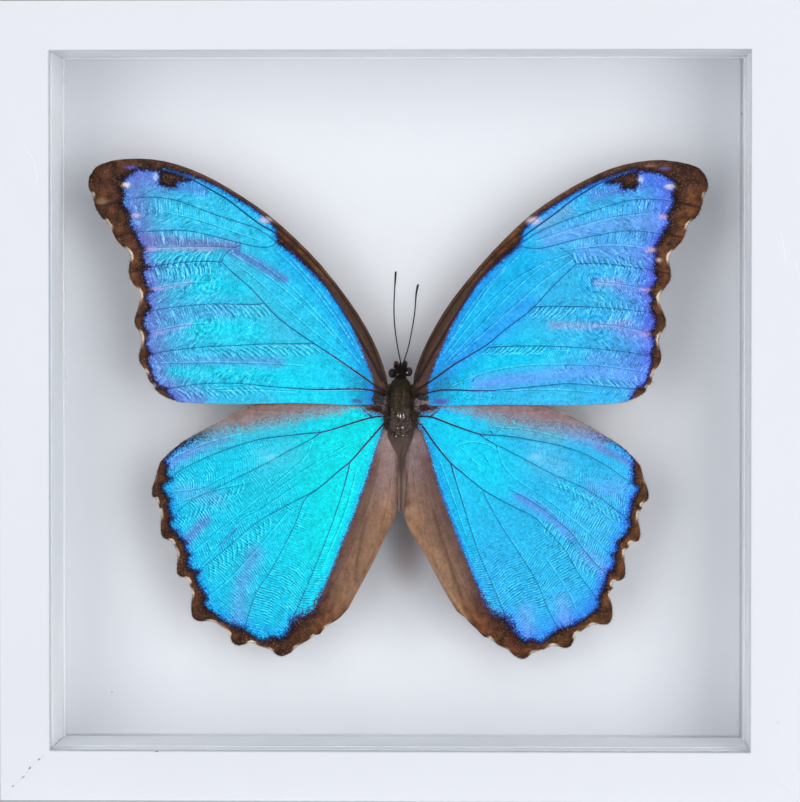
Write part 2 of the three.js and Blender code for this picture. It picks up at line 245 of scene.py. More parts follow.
def addLights(lamps, around):
    for name, plan in lamps.items():
        data = bpy.data.lights.new(name, "AREA")
        data.shape = "RECTANGLE"
        data.size = plan["size"][0] * mm
        data.size_y = plan["size"][1] * mm
        data.energy = plan["watts"]
        data.color = linear(plan["colour"])[:3]
        lamp = addObject(name, data)
        lamp.location = Vector(plan["place"]) * mm
        aim = Vector((0, 0, frameHalf)) * mm - lamp.location
        lamp.rotation_euler = aim.to_track_quat("-Z", "Y").to_euler()
    world = bpy.data.worlds.new("studio")
    world.use_nodes = True
    backdrop = world.node_tree.nodes["Background"]
    backdrop.inputs["Color"].default_value = linear(around["colour"])
    backdrop.inputs["Strength"].default_value = around["strength"]
    bpy.context.scene.world = world
    bpy.context.scene.view_settings.view_transform = "Standard"


# The flag is a dark cloth behind the camera, so that the glass mirrors nothing pale. The tall lights
# reach below the floor, and both faces of the glass mirror the flag where the floor would be.
stagePlan = {
    "flag": {"place": (30, -1150, 110), "half": 420, "tilt": 90, "surface": "black flag cloth",
             "colour": "#101010", "roughness": 1.0, "hiddenFrom": ("camera", "diffuse", "shadow")},
    "floor": {"place": (0, 0, 0), "half": 2000, "tilt": 0, "surface": "matt studio paper",
              "colour": "#dcdee2", "roughness": 0.8, "hiddenFrom": ("shadow", "glossy", "transmission")},
}


def addSheet(name, plan):
    bm = bmesh.new()
    turned = Matrix.Rotation(math.radians(plan["tilt"]), 4, "X")
    bmesh.ops.create_grid(bm, x_segments=1, y_segments=1, size=plan["half"] * mm, matrix=turned)
    bmesh.ops.translate(bm, verts=bm.verts, vec=Vector(plan["place"]) * mm)
    mesh = toMesh(bm, name)
    mesh.materials.append(newMaterial(plan["surface"], {"Roughness": plan["roughness"],
                                                        "Base Color": plan["colour"]}))
    sheet = addObject(name, mesh)
    for ray in plan["hiddenFrom"]:
        setattr(sheet, "visible_" + ray, False)


addCamera(cameraPlan)
addLights(lightPlan, worldPlan)
for name, plan in stagePlan.items():
    addSheet(name, plan)
print("camera, lights and stage placed")

# Noise scales are per metre: 650 gives a grain of about 1.5 mm. Bump distances are in metres.

# satin white lacquer sprayed on wood: smooth, with a faint orange peel, slightly cool
lacquer = newMaterial("white satin lacquer", {"IOR": 1.5}, [
    ("cloud", "noise", "coords", 25.0, 3.0),
    ("Base Color", "blend", "cloud", "#eff1f7", "#f2f4fb"),
    ("Roughness", "range", "cloud", 0.0, 1.0, 0.38, 0.48),
    ("peel", "noise", "coords", 650.0, 1.0),
    ("Normal", "bump", "peel", 0.05, 0.0002),
])


def cardMaterial(name, dark, light, grain, shadowPatches=()):
    # uncoated white board: matt, with a fine paper tooth about 0.3 mm across, and painted shadow where given
    recipe = [
        ("cloud", "noise", "coords", 30.0, 4.0),
        ("Base Color", "blend", "cloud", dark, light),
        ("tooth", "noise", "coords", 3300.0, 2.0),
        ("Normal", "bump", "tooth", grain, 0.0001),
    ]
    # each patch is painted shadow: it multiplies the colour, fading out to its reach
    for x, z, width, height, share, colour in shadowPatches:
        scale = (1.0 / (width * mm), 0.0, 1.0 / (height * mm))
        recipe += [
            ("local", "centred", "coords", scale, (-x / width, 0.0, -z / height)),
            ("far", "length", "local"),
            ("grease", "fading", "far", 0.0, 1.0, share, 0.0),
            ("Base Color", "stained", "grease", "Base Color", colour),
        ]
    return newMaterial(name, {"Roughness": 0.85}, recipe)


# painted shadow below the body, a warm core and a wide grey rim: place and reach in mm, share, colour
paintedShadowPatches = ((0.8, 54.2, 7.0, 12.5, 0.57, "#a07c70"), (0.6, 52.0, 20.0, 32.0, 0.5, "#b4b4b8"))
mountCard = cardMaterial("white mount board", "#e0e3e9", "#e4e6eb", 0.15, paintedShadowPatches)
spacerCard = cardMaterial("white spacer strip", "#f2f4f8", "#f7f9fc", 0.1)


def glassMaterial():
    # clear picture glass, 2 mm: light passes straight through it to what is behind
    material = newMaterial("picture glass", {"Roughness": 0.0, "IOR": 1.5, "Base Color": "#ffffff",
                                             "Transmission Weight": 1.0})
    tree = material.node_tree
    path = addNode(tree, "ShaderNodeLightPath")
    clear = addNode(tree, "ShaderNodeBsdfTransparent", {"Color": linear("#ffffff")})
    glass = tree.nodes["Principled BSDF"]
    mix = addNode(tree, "ShaderNodeMixShader", {0: path.outputs["Is Shadow Ray"], 1: glass.outputs[0],
                                               2: clear.outputs[0]})
    tree.links.new(mix.outputs[0], tree.nodes["Material Output"].inputs["Surface"])
    return material


pictureGlass = glassMaterial()

# raw hardboard: pressed wood fibre, brown, felted in flecks 1 to 4 mm long
hardboard = newMaterial("raw hardboard", {"Roughness": 0.75}, [
    ("lengthwise", "stretched", "coords", (260.0, 260.0, 900.0)),
    ("fibre", "noise", "lengthwise", 1.0, 6.0, 0.0, 0.7),
    ("crosswise", "stretched", "coords", (1000.0, 300.0, 300.0)),
    ("crossed", "noise", "crosswise", 1.0, 5.0),
    ("felt", "MULTIPLY", "fibre", "crossed"),
    ("Base Color", "stops", "felt", ((0.12, "#5d4028"), (0.42, "#a07c55"))),
    ("Normal", "bump", "felt", 0.35, 0.0002),
])

# zinc-plated sheet steel, stamped: drawn grain 0.2 mm across and slightly uneven gloss
zincSteel = newMaterial("zinc-plated steel", {"Metallic": 1.0}, [
    ("drawn", "stretched", "coords", (250.0, 2500.0, 5000.0)),
    ("grain", "noise", "drawn", 1.0, 3.0),
    ("Base Color", "blend", "grain", "#9ea3a8", "#cdd1d4"),
    ("Roughness", "range", "grain", 0.0, 1.0, 0.25, 0.5),
    ("Normal", "bump", "grain", 0.1, 0.00005),
])

# white plastic foam, cells about 0.4 mm
whiteFoam = newMaterial("white plastic foam", {"Roughness": 0.95}, [
    ("cell", "cells", "coords", 2500.0),
    ("Base Color", "blend", "cell", "#e4e4e2", "#c9c9c6"),
    ("Normal", "bump", "cell", 0.4, 0.0001),
])


def tonedMaterial(name, dark, light, scale, roughness, glossy=0.4):
    # two tones in flecks, with a matching bump: polished where it is glossy, else dulled by fine hair
    mirror = 0.5 if roughness < glossy else 0.15
    return newMaterial(name, {"Roughness": roughness, "Specular IOR Level": mirror}, [
        ("fleck", "noise", "coords", scale, 2.0),
        ("share", "range", "fleck", 0.36, 0.64),
        ("Base Color", "blend", "share", dark, light),
        ("Normal", "bump", "fleck", 0.4, 0.00005),
    ])


# The four mitred rails, in mm: each is drawn as the bottom one about the frame's middle, then turned.
railPlan = {
    "face": 11.2, "wall": 7.6, "lip": 4.0, "depth": 40.0,
    "arris": 0.4, "outerArris": 0.12, "arrisSteps": 4, "mitreGap": 0.004, "mitreEdge": 0.012,
}
sides = ("bottom", "left", "top", "right")


def addRail(side, turn, plan):
    section = [(0, 0), (plan["face"], 0), (plan["face"], plan["lip"]), (plan["wall"], plan["lip"]),
               (plan["wall"], plan["depth"]), (0, plan["depth"])]
    bm = bmesh.new()
    ring = [bm.verts.new((-frameHalf, frameFront + back, -frameHalf + inwards)) for inwards, back in section]
    grown = bmesh.ops.extrude_face_region(bm, geom=[bm.faces.new(ring)])["geom"]
    far = [g for g in grown if isinstance(g, bmesh.types.BMVert)]
    bmesh.ops.translate(bm, vec=(2 * frameHalf, 0, 0), verts=far)
    bmesh.ops.recalc_face_normals(bm, faces=bm.faces)
    rebateZ, rebateY = -frameHalf + plan["wall"], frameFront + plan["lip"]  # this corner stays sharp
    arrises = []
    for edge in bm.edges:
        a, b = edge.verts
        isLong = abs(a.co.x - b.co.x) > frameHalf
        if isLong and not (abs(a.co.z - rebateZ) < near and abs(a.co.y - rebateY) < near):
            arrises.append(edge)
    for size, isOuter in ((plan["outerArris"], True), (plan["arris"], False)):
        chosen = [e for e in arrises if e.is_valid and (e.verts[0].co.z < -frameHalf + near) == isOuter]
        easeEdges(bm, chosen, size, plan["arrisSteps"])
    for sign in (-1, 1):
        cut = bmesh.ops.bisect_plane(bm, geom=bm.verts[:] + bm.edges[:] + bm.faces[:], dist=1e-5,
                                     plane_co=(0, 0, -plan["mitreGap"]), plane_no=(sign, 0, 1),
                                     clear_outer=True)
        rim = [g for g in cut["geom_cut"] if isinstance(g, bmesh.types.BMEdge)]
        bmesh.ops.holes_fill(bm, edges=rim, sides=0)
        easeEdges(bm, rim, plan["mitreEdge"])
    bmesh.ops.recalc_face_normals(bm, faces=bm.faces)
    turnSide(bm, turn)
    finishMm(bm, "rail_" + side + "_finished", lacquer, ["rail_" + side])


for turn, side in enumerate(sides):
    addRail(side, turn, railPlan)
print("rails made")


def remadeNode(node, material, bevel, segments=2):  # a CAD node with its edges eased
    bm = bmesh.new()
    bm.from_mesh(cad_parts[node].data)
    bmesh.ops.remove_doubles(bm, verts=bm.verts, dist=1e-6)
    bmesh.ops.dissolve_limit(bm, angle_limit=math.radians(1), verts=bm.verts, edges=bm.edges)
    sharp = [e for e in bm.edges if len(e.link_faces) == 2 and e.calc_face_angle(0) > math.radians(30)]
    easeEdges(bm, sharp, bevel * mm, segments)
    bmesh.ops.triangulate(bm, faces=[f for f in bm.faces if len(f.verts) > 4])
    finishPiece(toMesh(bm, node + "_finished"), node + "_finished", material, [node], smooth=False)


remadeNode("glass_pane", pictureGlass, 0.15, 1)
remadeNode("backing_board", hardboard, 0.3)
remadeNode("sawtooth_hanger", zincSteel, 0.08)
for side in ("left", "right"):
    remadeNode("hanger_nail_" + side, zincSteel, 0.05)
for number in range(1, 9):
    remadeNode("tab_" + str(number), zincSteel, 0.1)
remadeNode("specimen_post", whiteFoam, 0.2)
print("glass, boards and hardware made")

spacerPlan = {"outer": 82.0, "inner": 78.8, "front": -13.5, "back": 12.95, "edge": 0.25, "play": 0.02}  # mm


def addSpacers(plan):  # four strips that meet the glass and the mount board
    for turn, side in enumerate(sides):
        half = plan["outer"] if side in ("bottom", "top") else plan["inner"] - plan["play"]
        bm = bmesh.new()
        addBox(bm, (-half, plan["front"], -plan["outer"]), (half, plan["back"], -plan["inner"]))
        easeEdges(bm, bm.edges[:], plan["edge"])
        turnSide(bm, turn)
        finishMm(bm, "spacer_" + side + "_finished", spacerCard, ["spacer_" + side])


addSpacers(spacerPlan)
remadeNode("mount_board", mountCard, 0.15)
print("spacers and mount board made")


# All in mm about the middle of the thorax. blue is the ring round the blue field, blotches are brown
# patches in it. A vein is its base radius, tip radius and points. folds are creases, rays are short
# creases off a vein: first and last start, number, run out. rings are the middles of eye-like rings,
# and worn is a rubbed stretch: first, last, reach. A pip is a small spot: centre, half sizes, colour.
# A wash is layer, reach, strength, colour and the line that it spreads from; one with the reach 99
# lies everywhere.
forewingLeft = {
    "root": (-2.5, 2.5),
    "blue": [
        (-6.3, -1.5), (-6.2, 2.4), (-5.9, 4.2), (-6.1, 5.5), (-6.8, 7.5), (-7.7, 9.7), (-9.3, 14),
        (-11.3, 18.3), (-13.8, 22.5), (-17, 27), (-20.2, 30.3), (-24, 34), (-28.2, 37.2), (-28.6, 40.3),
        (-30.5, 42.6), (-34, 45.2), (-38, 47.6), (-42, 50), (-46, 51.8), (-50, 53.1), (-54.2, 54.3),
        (-55.2, 53.6), (-57, 53.8), (-60, 54), (-61, 53.3), (-62.2, 52.5), (-63.2, 51.5), (-63.3, 49.2),
        (-63.2, 48), (-63.6, 46.4), (-63.2, 45.3), (-61.8, 43.8), (-61.9, 42.8), (-62.1, 41.5),
        (-60.6, 39.6), (-60.4, 38.6), (-59.2, 36.4), (-58, 35.7), (-58.9, 34.9), (-58.8, 33.5),
        (-58.4, 32.2), (-57.2, 31.6), (-58.5, 31), (-58.9, 30), (-58.2, 27.6), (-56.6, 26.3),
        (-57.8, 25.6), (-58.1, 24.6), (-57.2, 21.9), (-58.2, 21.2), (-58.7, 19.9), (-58.8, 18.3),
        (-57.6, 16.4), (-58.1, 15.4), (-58.2, 13.8), (-57, 11.7), (-57.7, 11), (-57.9, 10), (-57, 7.9),
        (-56.9, 7), (-55.9, 5.1), (-55.2, 4.2), (-53.4, 3.8), (-53.6, 3.1), (-52, 1.4), (-50, -1.5),
    ],
    "blotches": [[(-55, 54.6), (-54.2, 53.8), (-52, 53.2), (-49.6, 52.4), (-47.6, 51.5), (-49, 51.2),
                  (-51, 51.2), (-51.4, 49.8), (-53, 49.9), (-55, 50.5)]],
    "veins": [
        (0.28, 0.17, [(-4.2, 5.5), (-7.5, 12), (-13, 21.2), (-20, 31), (-27.5, 38.5), (-32, 41.3),
                     (-36, 44.3), (-40, 47.3), (-46, 50.7), (-50, 52.8), (-54, 53.9)]),
        (0.07, 0.05, [(-28.2, 37.3), (-31.5, 39.6), (-34, 40.8), (-42, 43.4), (-50, 46.4), (-54, 47.3),
                     (-58, 47.5), (-62, 47), (-66, 46.1), (-70, 45.6)]),
        (0.07, 0.05, [(-28.2, 37.3), (-29.3, 36.4), (-32, 36.1), (-38, 37.4), (-46, 39.4), (-50, 39.9),
                     (-56, 39.8), (-61, 39.4), (-65, 38.6)]),
        (0.07, 0.07, [(-36.5, 36.6), (-38.5, 35.7), (-40.2, 34.3), (-40.8, 32.7)]),
        (0.08, 0.05, [(-40.8, 32.7), (-45, 32.9), (-51, 32.5), (-57, 31.5), (-61.8, 30.4)]),
        (0.26, 0.08, [(-2.9, 2.6), (-6, 4.7), (-9, 6.8), (-12, 8.9), (-16, 11.6), (-22, 15.6), (-28, 20),
                     (-34, 26.5), (-38, 30), (-40.8, 32.7)]),
        (0.08, 0.045, [(-31.3, 23.3), (-33.5, 23), (-42, 23.1), (-50, 22.6), (-57, 21.5), (-60.8, 20.2)]),
        (0.08, 0.045, [(-20, 14), (-30, 14), (-38, 13.6), (-46, 13.2), (-54, 12.2), (-59.6, 10.9)]),
        (0.22, 0.04, [(-2.9, 2), (-8, 3.6), (-20, 3.6), (-30, 4.3), (-38, 5), (-46, 4.8), (-53, 3.8),
                     (-57, 3.9)]),
        (0.24, 0.08, [(-3.4, 4.8), (-6.2, 13), (-10, 20), (-16, 28.4), (-22, 35), (-28, 40.5),
                     (-34, 45.4), (-40, 49.2)]),
    ],
    "folds": [
        [(-38, 36), (-46, 36.2), (-54, 36), (-58, 35.8)],
        [(-39, 34.8), (-33, 31.2), (-27, 26.8), (-20, 20.5), (-12, 12.2)],
        [(-39.8, 33.8), (-34, 29.6), (-28, 24.2), (-22, 18.6), (-14, 12)],
        [(-36, 34.8), (-30, 31), (-24, 26), (-16, 17.5), (-9, 9)],
        [(-28, 35), (-22, 29), (-15, 20), (-8.5, 10)],
        [(-25, 33.5), (-18, 25.5), (-12, 17), (-8, 9.5)],
        [(-54, 44.2), (-46, 42.3), (-38, 39.6), (-32, 37.6)],
        [(-57, 26.6), (-50, 27.9), (-44, 28.1)],
        [(-57, 16.8), (-50, 18.3), (-44, 18.8)],
        [(-55, 9.6), (-44, 9.8), (-32, 9.6), (-22, 9)],
        [(-24, 3.1), (-34, 3.6), (-44, 3.4)],
    ],
    "rays": [((-31.8, 22.6), (-44, 22.8), 11, (2.4, -2.6)), ((-21, 13.7), (-44, 13), 17, (3.4, -2.4)),
             ((-42, 32.6), (-56, 31.5), 12, (1.3, 2.6)), ((-33, 4.1), (-52, 3.4), 15, (2.4, -1.8)),
             ((-44, 32.3), (-56, 31.3), 12, (0.6, -2.2))],
    "rings": [(-44, 27.6), (-44.3, 18.6)],
    "worn": [((-11, 0.3), (-8, 1.2), 1.1), ((-54.5, 50.6), (-50, 50.8), 0.8), ((-7, 3), (-13, 7), 0.8)],
    "pips": [
        (-62.6, 50.4, 0.9, 0.6, "#efe6da"), (-56, 52.2, 0.5, 0.8, "#c4d8f4"),
        (-60.4, 43.4, 1, 0.6, "#c4b0d8"), (-57, 35.7, 1.2, 0.5, "#b4a8e0"),
        (-55.8, 26.6, 1.4, 0.4, "#a8a4e0"), (-55.5, 16.6, 1.2, 0.4, "#9a9ce2"),
        (-30.8, 42.4, 1.4, 0.7, "#d4c2ce"),
        (-61.6, 54.4, 1.4, 0.3, "#5a5cc0"), (-68.2, 46.6, 1.2, 0.8, "#8a6c54"),
        (-10, 1, 1.4, 0.5, "#4436a0"),
    ],
    "washes": [
        ("blue", 99, 1, "#2cc2ea", [(-30, 20)]),
        ("blue", 11, 0.85, "#06dcf8", [(-8, 1.5), (-20, 5), (-34, 4.5)]),
        ("blue", 8, 0.7, "#18c8f2", [(-10, 10), (-20, 21), (-30, 30)]),
        ("blue", 3.5, 0.7, "#0ea6ee", [(-8, 9), (-12, 18), (-18, 27), (-25, 34)]),
        ("blue", 5, 0.55, "#40b8d8", [(-36, 30), (-30, 19), (-26, 16)]),
        ("blue", 6, 0.6, "#4e92cc", [(-58, 46), (-57, 38), (-56, 22), (-54, 8)]),
        ("blue", 3, 0.75, "#6874c4", [(-61, 50), (-60, 44), (-58.5, 34), (-57, 24), (-56.5, 14), (-54, 5)]),
        ("blue", 2.6, 0.75, "#6c70d0", [(-60, 52.5), (-56, 51.8)]),
        ("blue", 1.6, 0.6, "#5458cc", [(-50, 50.2), (-45, 49)]),
        ("blue", 3, 0.6, "#30ccf4", [(-52, 43.5), (-44, 41.5), (-36, 39)]),
        ("blue", 1.4, 0.85, "#7476ba", [(-59, 38), (-54, 37.7), (-45, 36.9), (-38, 36.3)]),
        ("blue", 1.1, 0.85, "#5a78c4", [(-38, 35), (-33, 32.5), (-26.6, 28.8)]),
        ("blue", 0.5, 0.6, "#b4a4d0", [(-58, 35.9), (-50, 35.8), (-43, 35.6)]),
        ("blue", 1.2, 0.6, "#22c8ec", [(-56, 34), (-48, 34), (-41, 34)]),
        ("blue", 1.6, 0.65, "#5a88d2", [(-56, 8.8), (-42, 10.2), (-28, 9.8)]),
        ("blue", 2.2, 0.5, "#5c8ad6", [(-56, 20.4), (-48, 20.6), (-40, 20.9)]),
        ("blue", 2.2, 0.8, "#06d0ee", [(-46, 27.4), (-42, 27.8), (-36, 26.6)]),
        ("blue", 2.2, 0.85, "#04d6f0", [(-47, 17.8), (-42, 17.8), (-33, 17)]),
        ("blue", 1.5, 0.85, "#08d4f0", [(-52, 7.8), (-42, 7.4), (-26, 6.6)]),
        ("blue", 0.6, 0.6, "#98b4ec", [(-55, 26.7), (-48, 28.2)]),
        ("blue", 0.6, 0.6, "#98a8ec", [(-55, 16.7), (-48, 18.6)]),
        ("blue", 2.6, 0.8, "#6c7ed8", [(-54, 2.6), (-46, 1.2)]),
        ("blue", 2.4, 0.6, "#3cacde", [(-42, 1.6), (-30, 1.8)]),
        ("blue", 1.2, 0.7, "#0c98dc", [(-6.6, 4), (-9, 10), (-13.6, 21)]),
        ("blue", 3, 0.7, "#1c86b8", [(-8, 2), (-9.4, 5)]),
        ("blue", 1, 0.7, "#2462d8", [(-7, 0.2), (-6.8, 4.6)]),
        ("edge", 99, 1, "#5c5cc8", [(-30, 20)]),
        ("edge", 9, 1, "#109cdc", [(-7, 4), (-12, 20), (-24, 34), (-40, 49)]),
        ("rim", 99, 1, "#241f66", [(-30, 20)]),
        ("rim", 9, 1, "#1a54b4", [(-7, 4), (-12, 20), (-24, 34), (-40, 49)]),
        ("brown", 99, 1, "#42281e", [(-30, 20)]),
        ("brown", 1.5, 0.75, "#2c1a17", [(-68.6, 51), (-65, 53.8), (-60, 55), (-54, 55.4), (-47, 53.8),
                                         (-38, 49.6)]),
        ("brown", 3, 0.7, "#33201a", [(-60.6, 22), (-60, 10), (-56, 1)]),
        ("brown", 2.6, 0.75, "#341f1a", [(-67, 53), (-60, 55.6), (-52, 55), (-44, 52),
                                       (-36, 46.5), (-30, 41)]),
        ("brown", 2.6, 0.9, "#604638", [(-4, 6), (-7, 13), (-12, 21), (-18, 29)]),
        ("brown", 0.7, 0.8, "#3f2c22", [(-4.4, 7), (-7.6, 14.4), (-12.4, 22), (-20, 31.6)]),
        ("brown", 1.4, 0.9, "#33333c", [(-4.6, 1.6), (-3, 2.2)]),
        ("brown", 1, 0.9, "#3c2218", [(-5.6, -0.6), (-3, -1)]),
        ("plain", 6, 1, "#ffffff", [(-4, 3), (-8, 15), (-14, 25)]),
        ("ripple", 9, 0.9, "#ffffff", [(-54, 45), (-52, 36), (-51, 22), (-50, 8)]),
        ("ripple", 7, 0.5, "#ffffff", [(-44, 46), (-38, 42), (-46, 28), (-36, 18)]),
        ("ripple", 2.2, 0.8, "#ffffff", [(-50, 6.8), (-30, 6.2)]),
    ],
}
hindwingLeft = {
    "root": (-3, -2.5),
    "blue": [
        (-4, -6), (-5.5, -10), (-7, -15), (-8.7, -20), (-10.5, -25), (-12.5, -30), (-14.5, -35),
        (-16.5, -40), (-18.5, -44.5), (-20, -47.2), (-21.8, -48.2), (-23.5, -48.8), (-24.8, -49.8),
        (-25.2, -51.2), (-26.3, -52.8), (-27.8, -53.6), (-29.3, -53.1), (-30.3, -53.6), (-31.5, -54),
        (-33, -53.5), (-34.5, -52.4), (-36, -51.4), (-37.5, -50.8), (-39, -50.4), (-41, -49.2),
        (-42.8, -47.8), (-44.2, -46.8), (-45.1, -45.6), (-44.6, -44.2), (-45.3, -42.8), (-46.2, -41.5),
        (-46.8, -40.3), (-47, -39), (-46.3, -38.2), (-47.8, -37.8), (-48.7, -36.9), (-49, -36),
        (-48.8, -35), (-48.3, -34.2), (-49.3, -33.6), (-49.6, -32.6), (-49.4, -31.5), (-50.6, -30.6),
        (-50.9, -29.9), (-51.6, -29), (-52.6, -28.3), (-53, -27.2), (-52.8, -26.4), (-52.2, -25.8),
        (-52.8, -25.2), (-53, -24.2), (-53.3, -22.8), (-53, -21.5), (-53.6, -20.8), (-54.1, -20),
        (-54.6, -19.1), (-54.6, -18.2), (-53.9, -17.7), (-52.5, -16.8), (-53.5, -16.2), (-53.6, -15),
        (-53.4, -14), (-54.1, -13.2), (-54.2, -12.5), (-52, -10.4), (-48, -7.7), (-44, -6), (-40, -5),
        (-36, -4.6), (-32, -3.9), (-28, -3.2), (-24, -2.3), (-20, -1.5), (-16, -0.9), (-12, -0.4),
        (-9, -0.3), (-7.5, -1.2), (-4.4, -1.9), (-3.2, -2.4),
    ],
    "blotches": [],
    "veins": [
        (0.22, 0.034, [(-2.6, -2.7), (-4.5, -2.6), (-6.5, -2.8), (-10, -3.8), (-14, -5.1), (-18, -6.2),
                      (-22, -6.6), (-30, -7.5), (-34, -8.3), (-42, -11), (-50, -14.8), (-54, -17.8)]),
        (0.16, 0.045, [(-6.5, -2.8), (-7.9, -1.7), (-9.2, -0.4)]),
        (0.07, 0.03, [(-18, -6.2), (-20.5, -7.9), (-24, -9.7), (-32, -14), (-40, -18), (-48, -22),
                     (-52.3, -25.8)]),
        (0.22, 0.03, [(-2.8, -3.2), (-4.5, -5), (-8, -9), (-11.5, -13), (-14, -15), (-19, -19.2),
                      (-26, -23), (-33, -27), (-40, -33), (-46.5, -38.3)]),
        (0.06, 0.034, [(-19, -19.3), (-22, -21.8), (-24, -27), (-27, -33), (-30, -38.5), (-33, -43),
                      (-35.6, -50.8)]),
        (0.09, 0.038, [(-11.6, -13.5), (-13, -19), (-15.8, -27.5), (-19.5, -37), (-23.5, -46.5),
                      (-25, -50.3), (-26, -53)]),
    ],
    "folds": [
        [(-20.3, -8.2), (-22, -12), (-27, -16.5), (-38, -25.6), (-48.8, -34.8)],
        [(-24, -18.5), (-33.5, -24.8), (-36.4, -26.3), (-41.3, -32.1), (-45.9, -37.4)],
        [(-33.2, -24.1), (-36.2, -25.4), (-39.4, -29.4)],
        [(-26, -24.5), (-33, -33), (-39.5, -40), (-44.8, -44.4)],
        [(-5, -7), (-8.5, -17), (-12.5, -28), (-17, -39)],
        [(-10, -14.5), (-12.6, -24), (-17.4, -36)],
        [(-12, -9), (-20, -13.6), (-28, -19)],
        [(-54, -20), (-46, -19), (-40, -16.2)],
        [(-51, -22.6), (-44, -19.8), (-34, -17.6)],
        [(-52, -12), (-44, -8.6), (-36, -6.6)],
        [(-4.2, -9), (-6.4, -20), (-12.5, -36)],
        [(-1.2, -11), (-2.6, -8.2)],
        [(-1.6, -12), (-3.2, -24), (-8, -38), (-18, -49.5)],
        [(-5.8, -18), (-10.6, -32), (-17.6, -45.5)],
    ],
    "rays": [((-50, -25.5), (-36, -18), 14, (-0.8, -2.2)), ((-44, -37), (-30, -26), 14, (0.2, -2.4))],
    "rings": [(-29.5, -11.5)],
    "worn": [((-30, -8.6), (-33, -9), 0.6), ((-9.5, -9.6), (-7.4, -7.6), 0.8)],
    "pips": [(-29.8, -12, 1.5, 0.8, "#6ad8f0"), (-32, -10.6, 1.8, 0.7, "#46c6e6")],
    "washes": [
        ("blue", 99, 1, "#0ccaea", [(-30, -20)]),
        ("blue", 10, 0.9, "#00e2e8", [(-6, -4), (-12, -14), (-15, -32)]),
        ("blue", 6, 0.7, "#00e0e8", [(-12, -6), (-20, -10), (-20, -16)]),
        ("blue", 5, 0.45, "#1abcd2", [(-24, -12), (-33, -20)]),
        ("blue", 6, 0.5, "#18bcea", [(-50, -20), (-46, -30), (-42, -42), (-30, -50)]),
        ("blue", 1.6, 0.5, "#0c96e6", [(-52.5, -20), (-51.5, -28), (-47.5, -37.5), (-43.8, -45),
                                       (-36, -50), (-28, -52), (-24.4, -49)]),
        ("blue", 1.8, 0.8, "#6a86d8", [(-53, -13.4), (-48, -10.4), (-40, -7)]),
        ("blue", 2, 0.5, "#66a4e4", [(-50, -19.6), (-42, -21.5)]),
        ("blue", 2, 0.55, "#6a8ce0", [(-37.2, -49.2), (-36.4, -42), (-33.4, -34)]),
        ("blue", 1.3, 0.9, "#5c7ecb", [(-49.4, -31.4), (-44.7, -26.2)]),
        ("blue", 0.5, 0.75, "#2f6cc0", [(-37.4, -28), (-41.4, -32.4)]),
        ("blue", 3.4, 0.5, "#4ed4ee", [(-31, -12.6), (-26, -11)]),
        ("blue", 3, 0.5, "#56b8c8", [(-44, -7.2), (-34, -5.2), (-26, -3.8)]),
        ("blue", 0.5, 0.6, "#0a80dc", [(-4.4, -6.4), (-8.6, -19), (-14.2, -33.6), (-19, -45)]),
        ("edge", 99, 1, "#0f62d4", [(-30, -20)]),
        ("edge", 4, 1, "#0cc6ec", [(-4.4, -6.4), (-8.6, -19), (-14.2, -33.6), (-18.6, -44)]),
        ("rim", 99, 1, "#121c66", [(-30, -20)]),
        ("rim", 5, 1, "#3c2668", [(-5, -10), (-10, -24), (-16, -39), (-21, -48)]),
        ("rim", 6, 1, "#7a9cb0", [(-40, -5), (-24, -2.3), (-10, -0.4)]),
        ("brown", 99, 1, "#351f16", [(-30, -20)]),
        ("brown", 5, 1, "#8f7672", [(-40, -4.4), (-30, -2), (-20, -0.4), (-12, 0.4)]),
        ("brown", 0.7, 0.85, "#7c5c44", [(-51.6, -8), (-44, -3.4), (-36, -0.2), (-28, 1)]),
        ("brown", 9, 1, "#9e8786", [(-1, -9), (-3, -16), (-4, -20)]),
        ("brown", 10, 1, "#8d6b55", [(-5, -27), (-12, -40)]),
        ("brown", 2.4, 0.85, "#674a42", [(-6, -13), (-9.6, -24), (-14.4, -36), (-18, -44)]),
        ("brown", 4, 0.9, "#5c3a2a", [(-18.6, -47), (-21, -50)]),
        ("brown", 3.6, 0.95, "#321a13", [(-23, -51), (-26, -54.4)]),
        # painted shadow where the two folds overlap
        ("brown", 1.4, 0.85, "#5a4238", [(-0.2, -8), (-0.2, -22)]),
        ("brown", 0.3, 0.7, "#a8876c", [(-0.9, -25.4), (-4, -32), (-8.2, -40), (-12, -47)]),
        ("brown", 0.5, 0.5, "#4f3a32", [(-8, -26), (-9.4, -32), (-10.4, -40)]),
        ("brown", 0.8, 0.8, "#3a241c", [(-8.6, -0.4), (-6, -1.6), (-3, -2.2)]),
        ("plain", 9, 1, "#ffffff", [(-3, -12), (-8, -28), (-12, -40)]),
        ("plain", 6, 1, "#ffffff", [(-44, -3.6), (-30, -1), (-12, 0)]),
        ("soft", 4, 1, "#ffffff", [(-46, -6), (-36, -4), (-24, -2), (-16, -0.6)]),
        ("soft", 3, 0.35, "#ffffff", [(-19, -46), (-24, -50)]),
        ("ripple", 12, 0.95, "#ffffff", [(-48, -20), (-40, -32), (-34, -42), (-24, -44)]),
        ("ripple", 4, 0.6, "#ffffff", [(-34, -12), (-24, -26)]),
    ],
}
print("left wings planned")

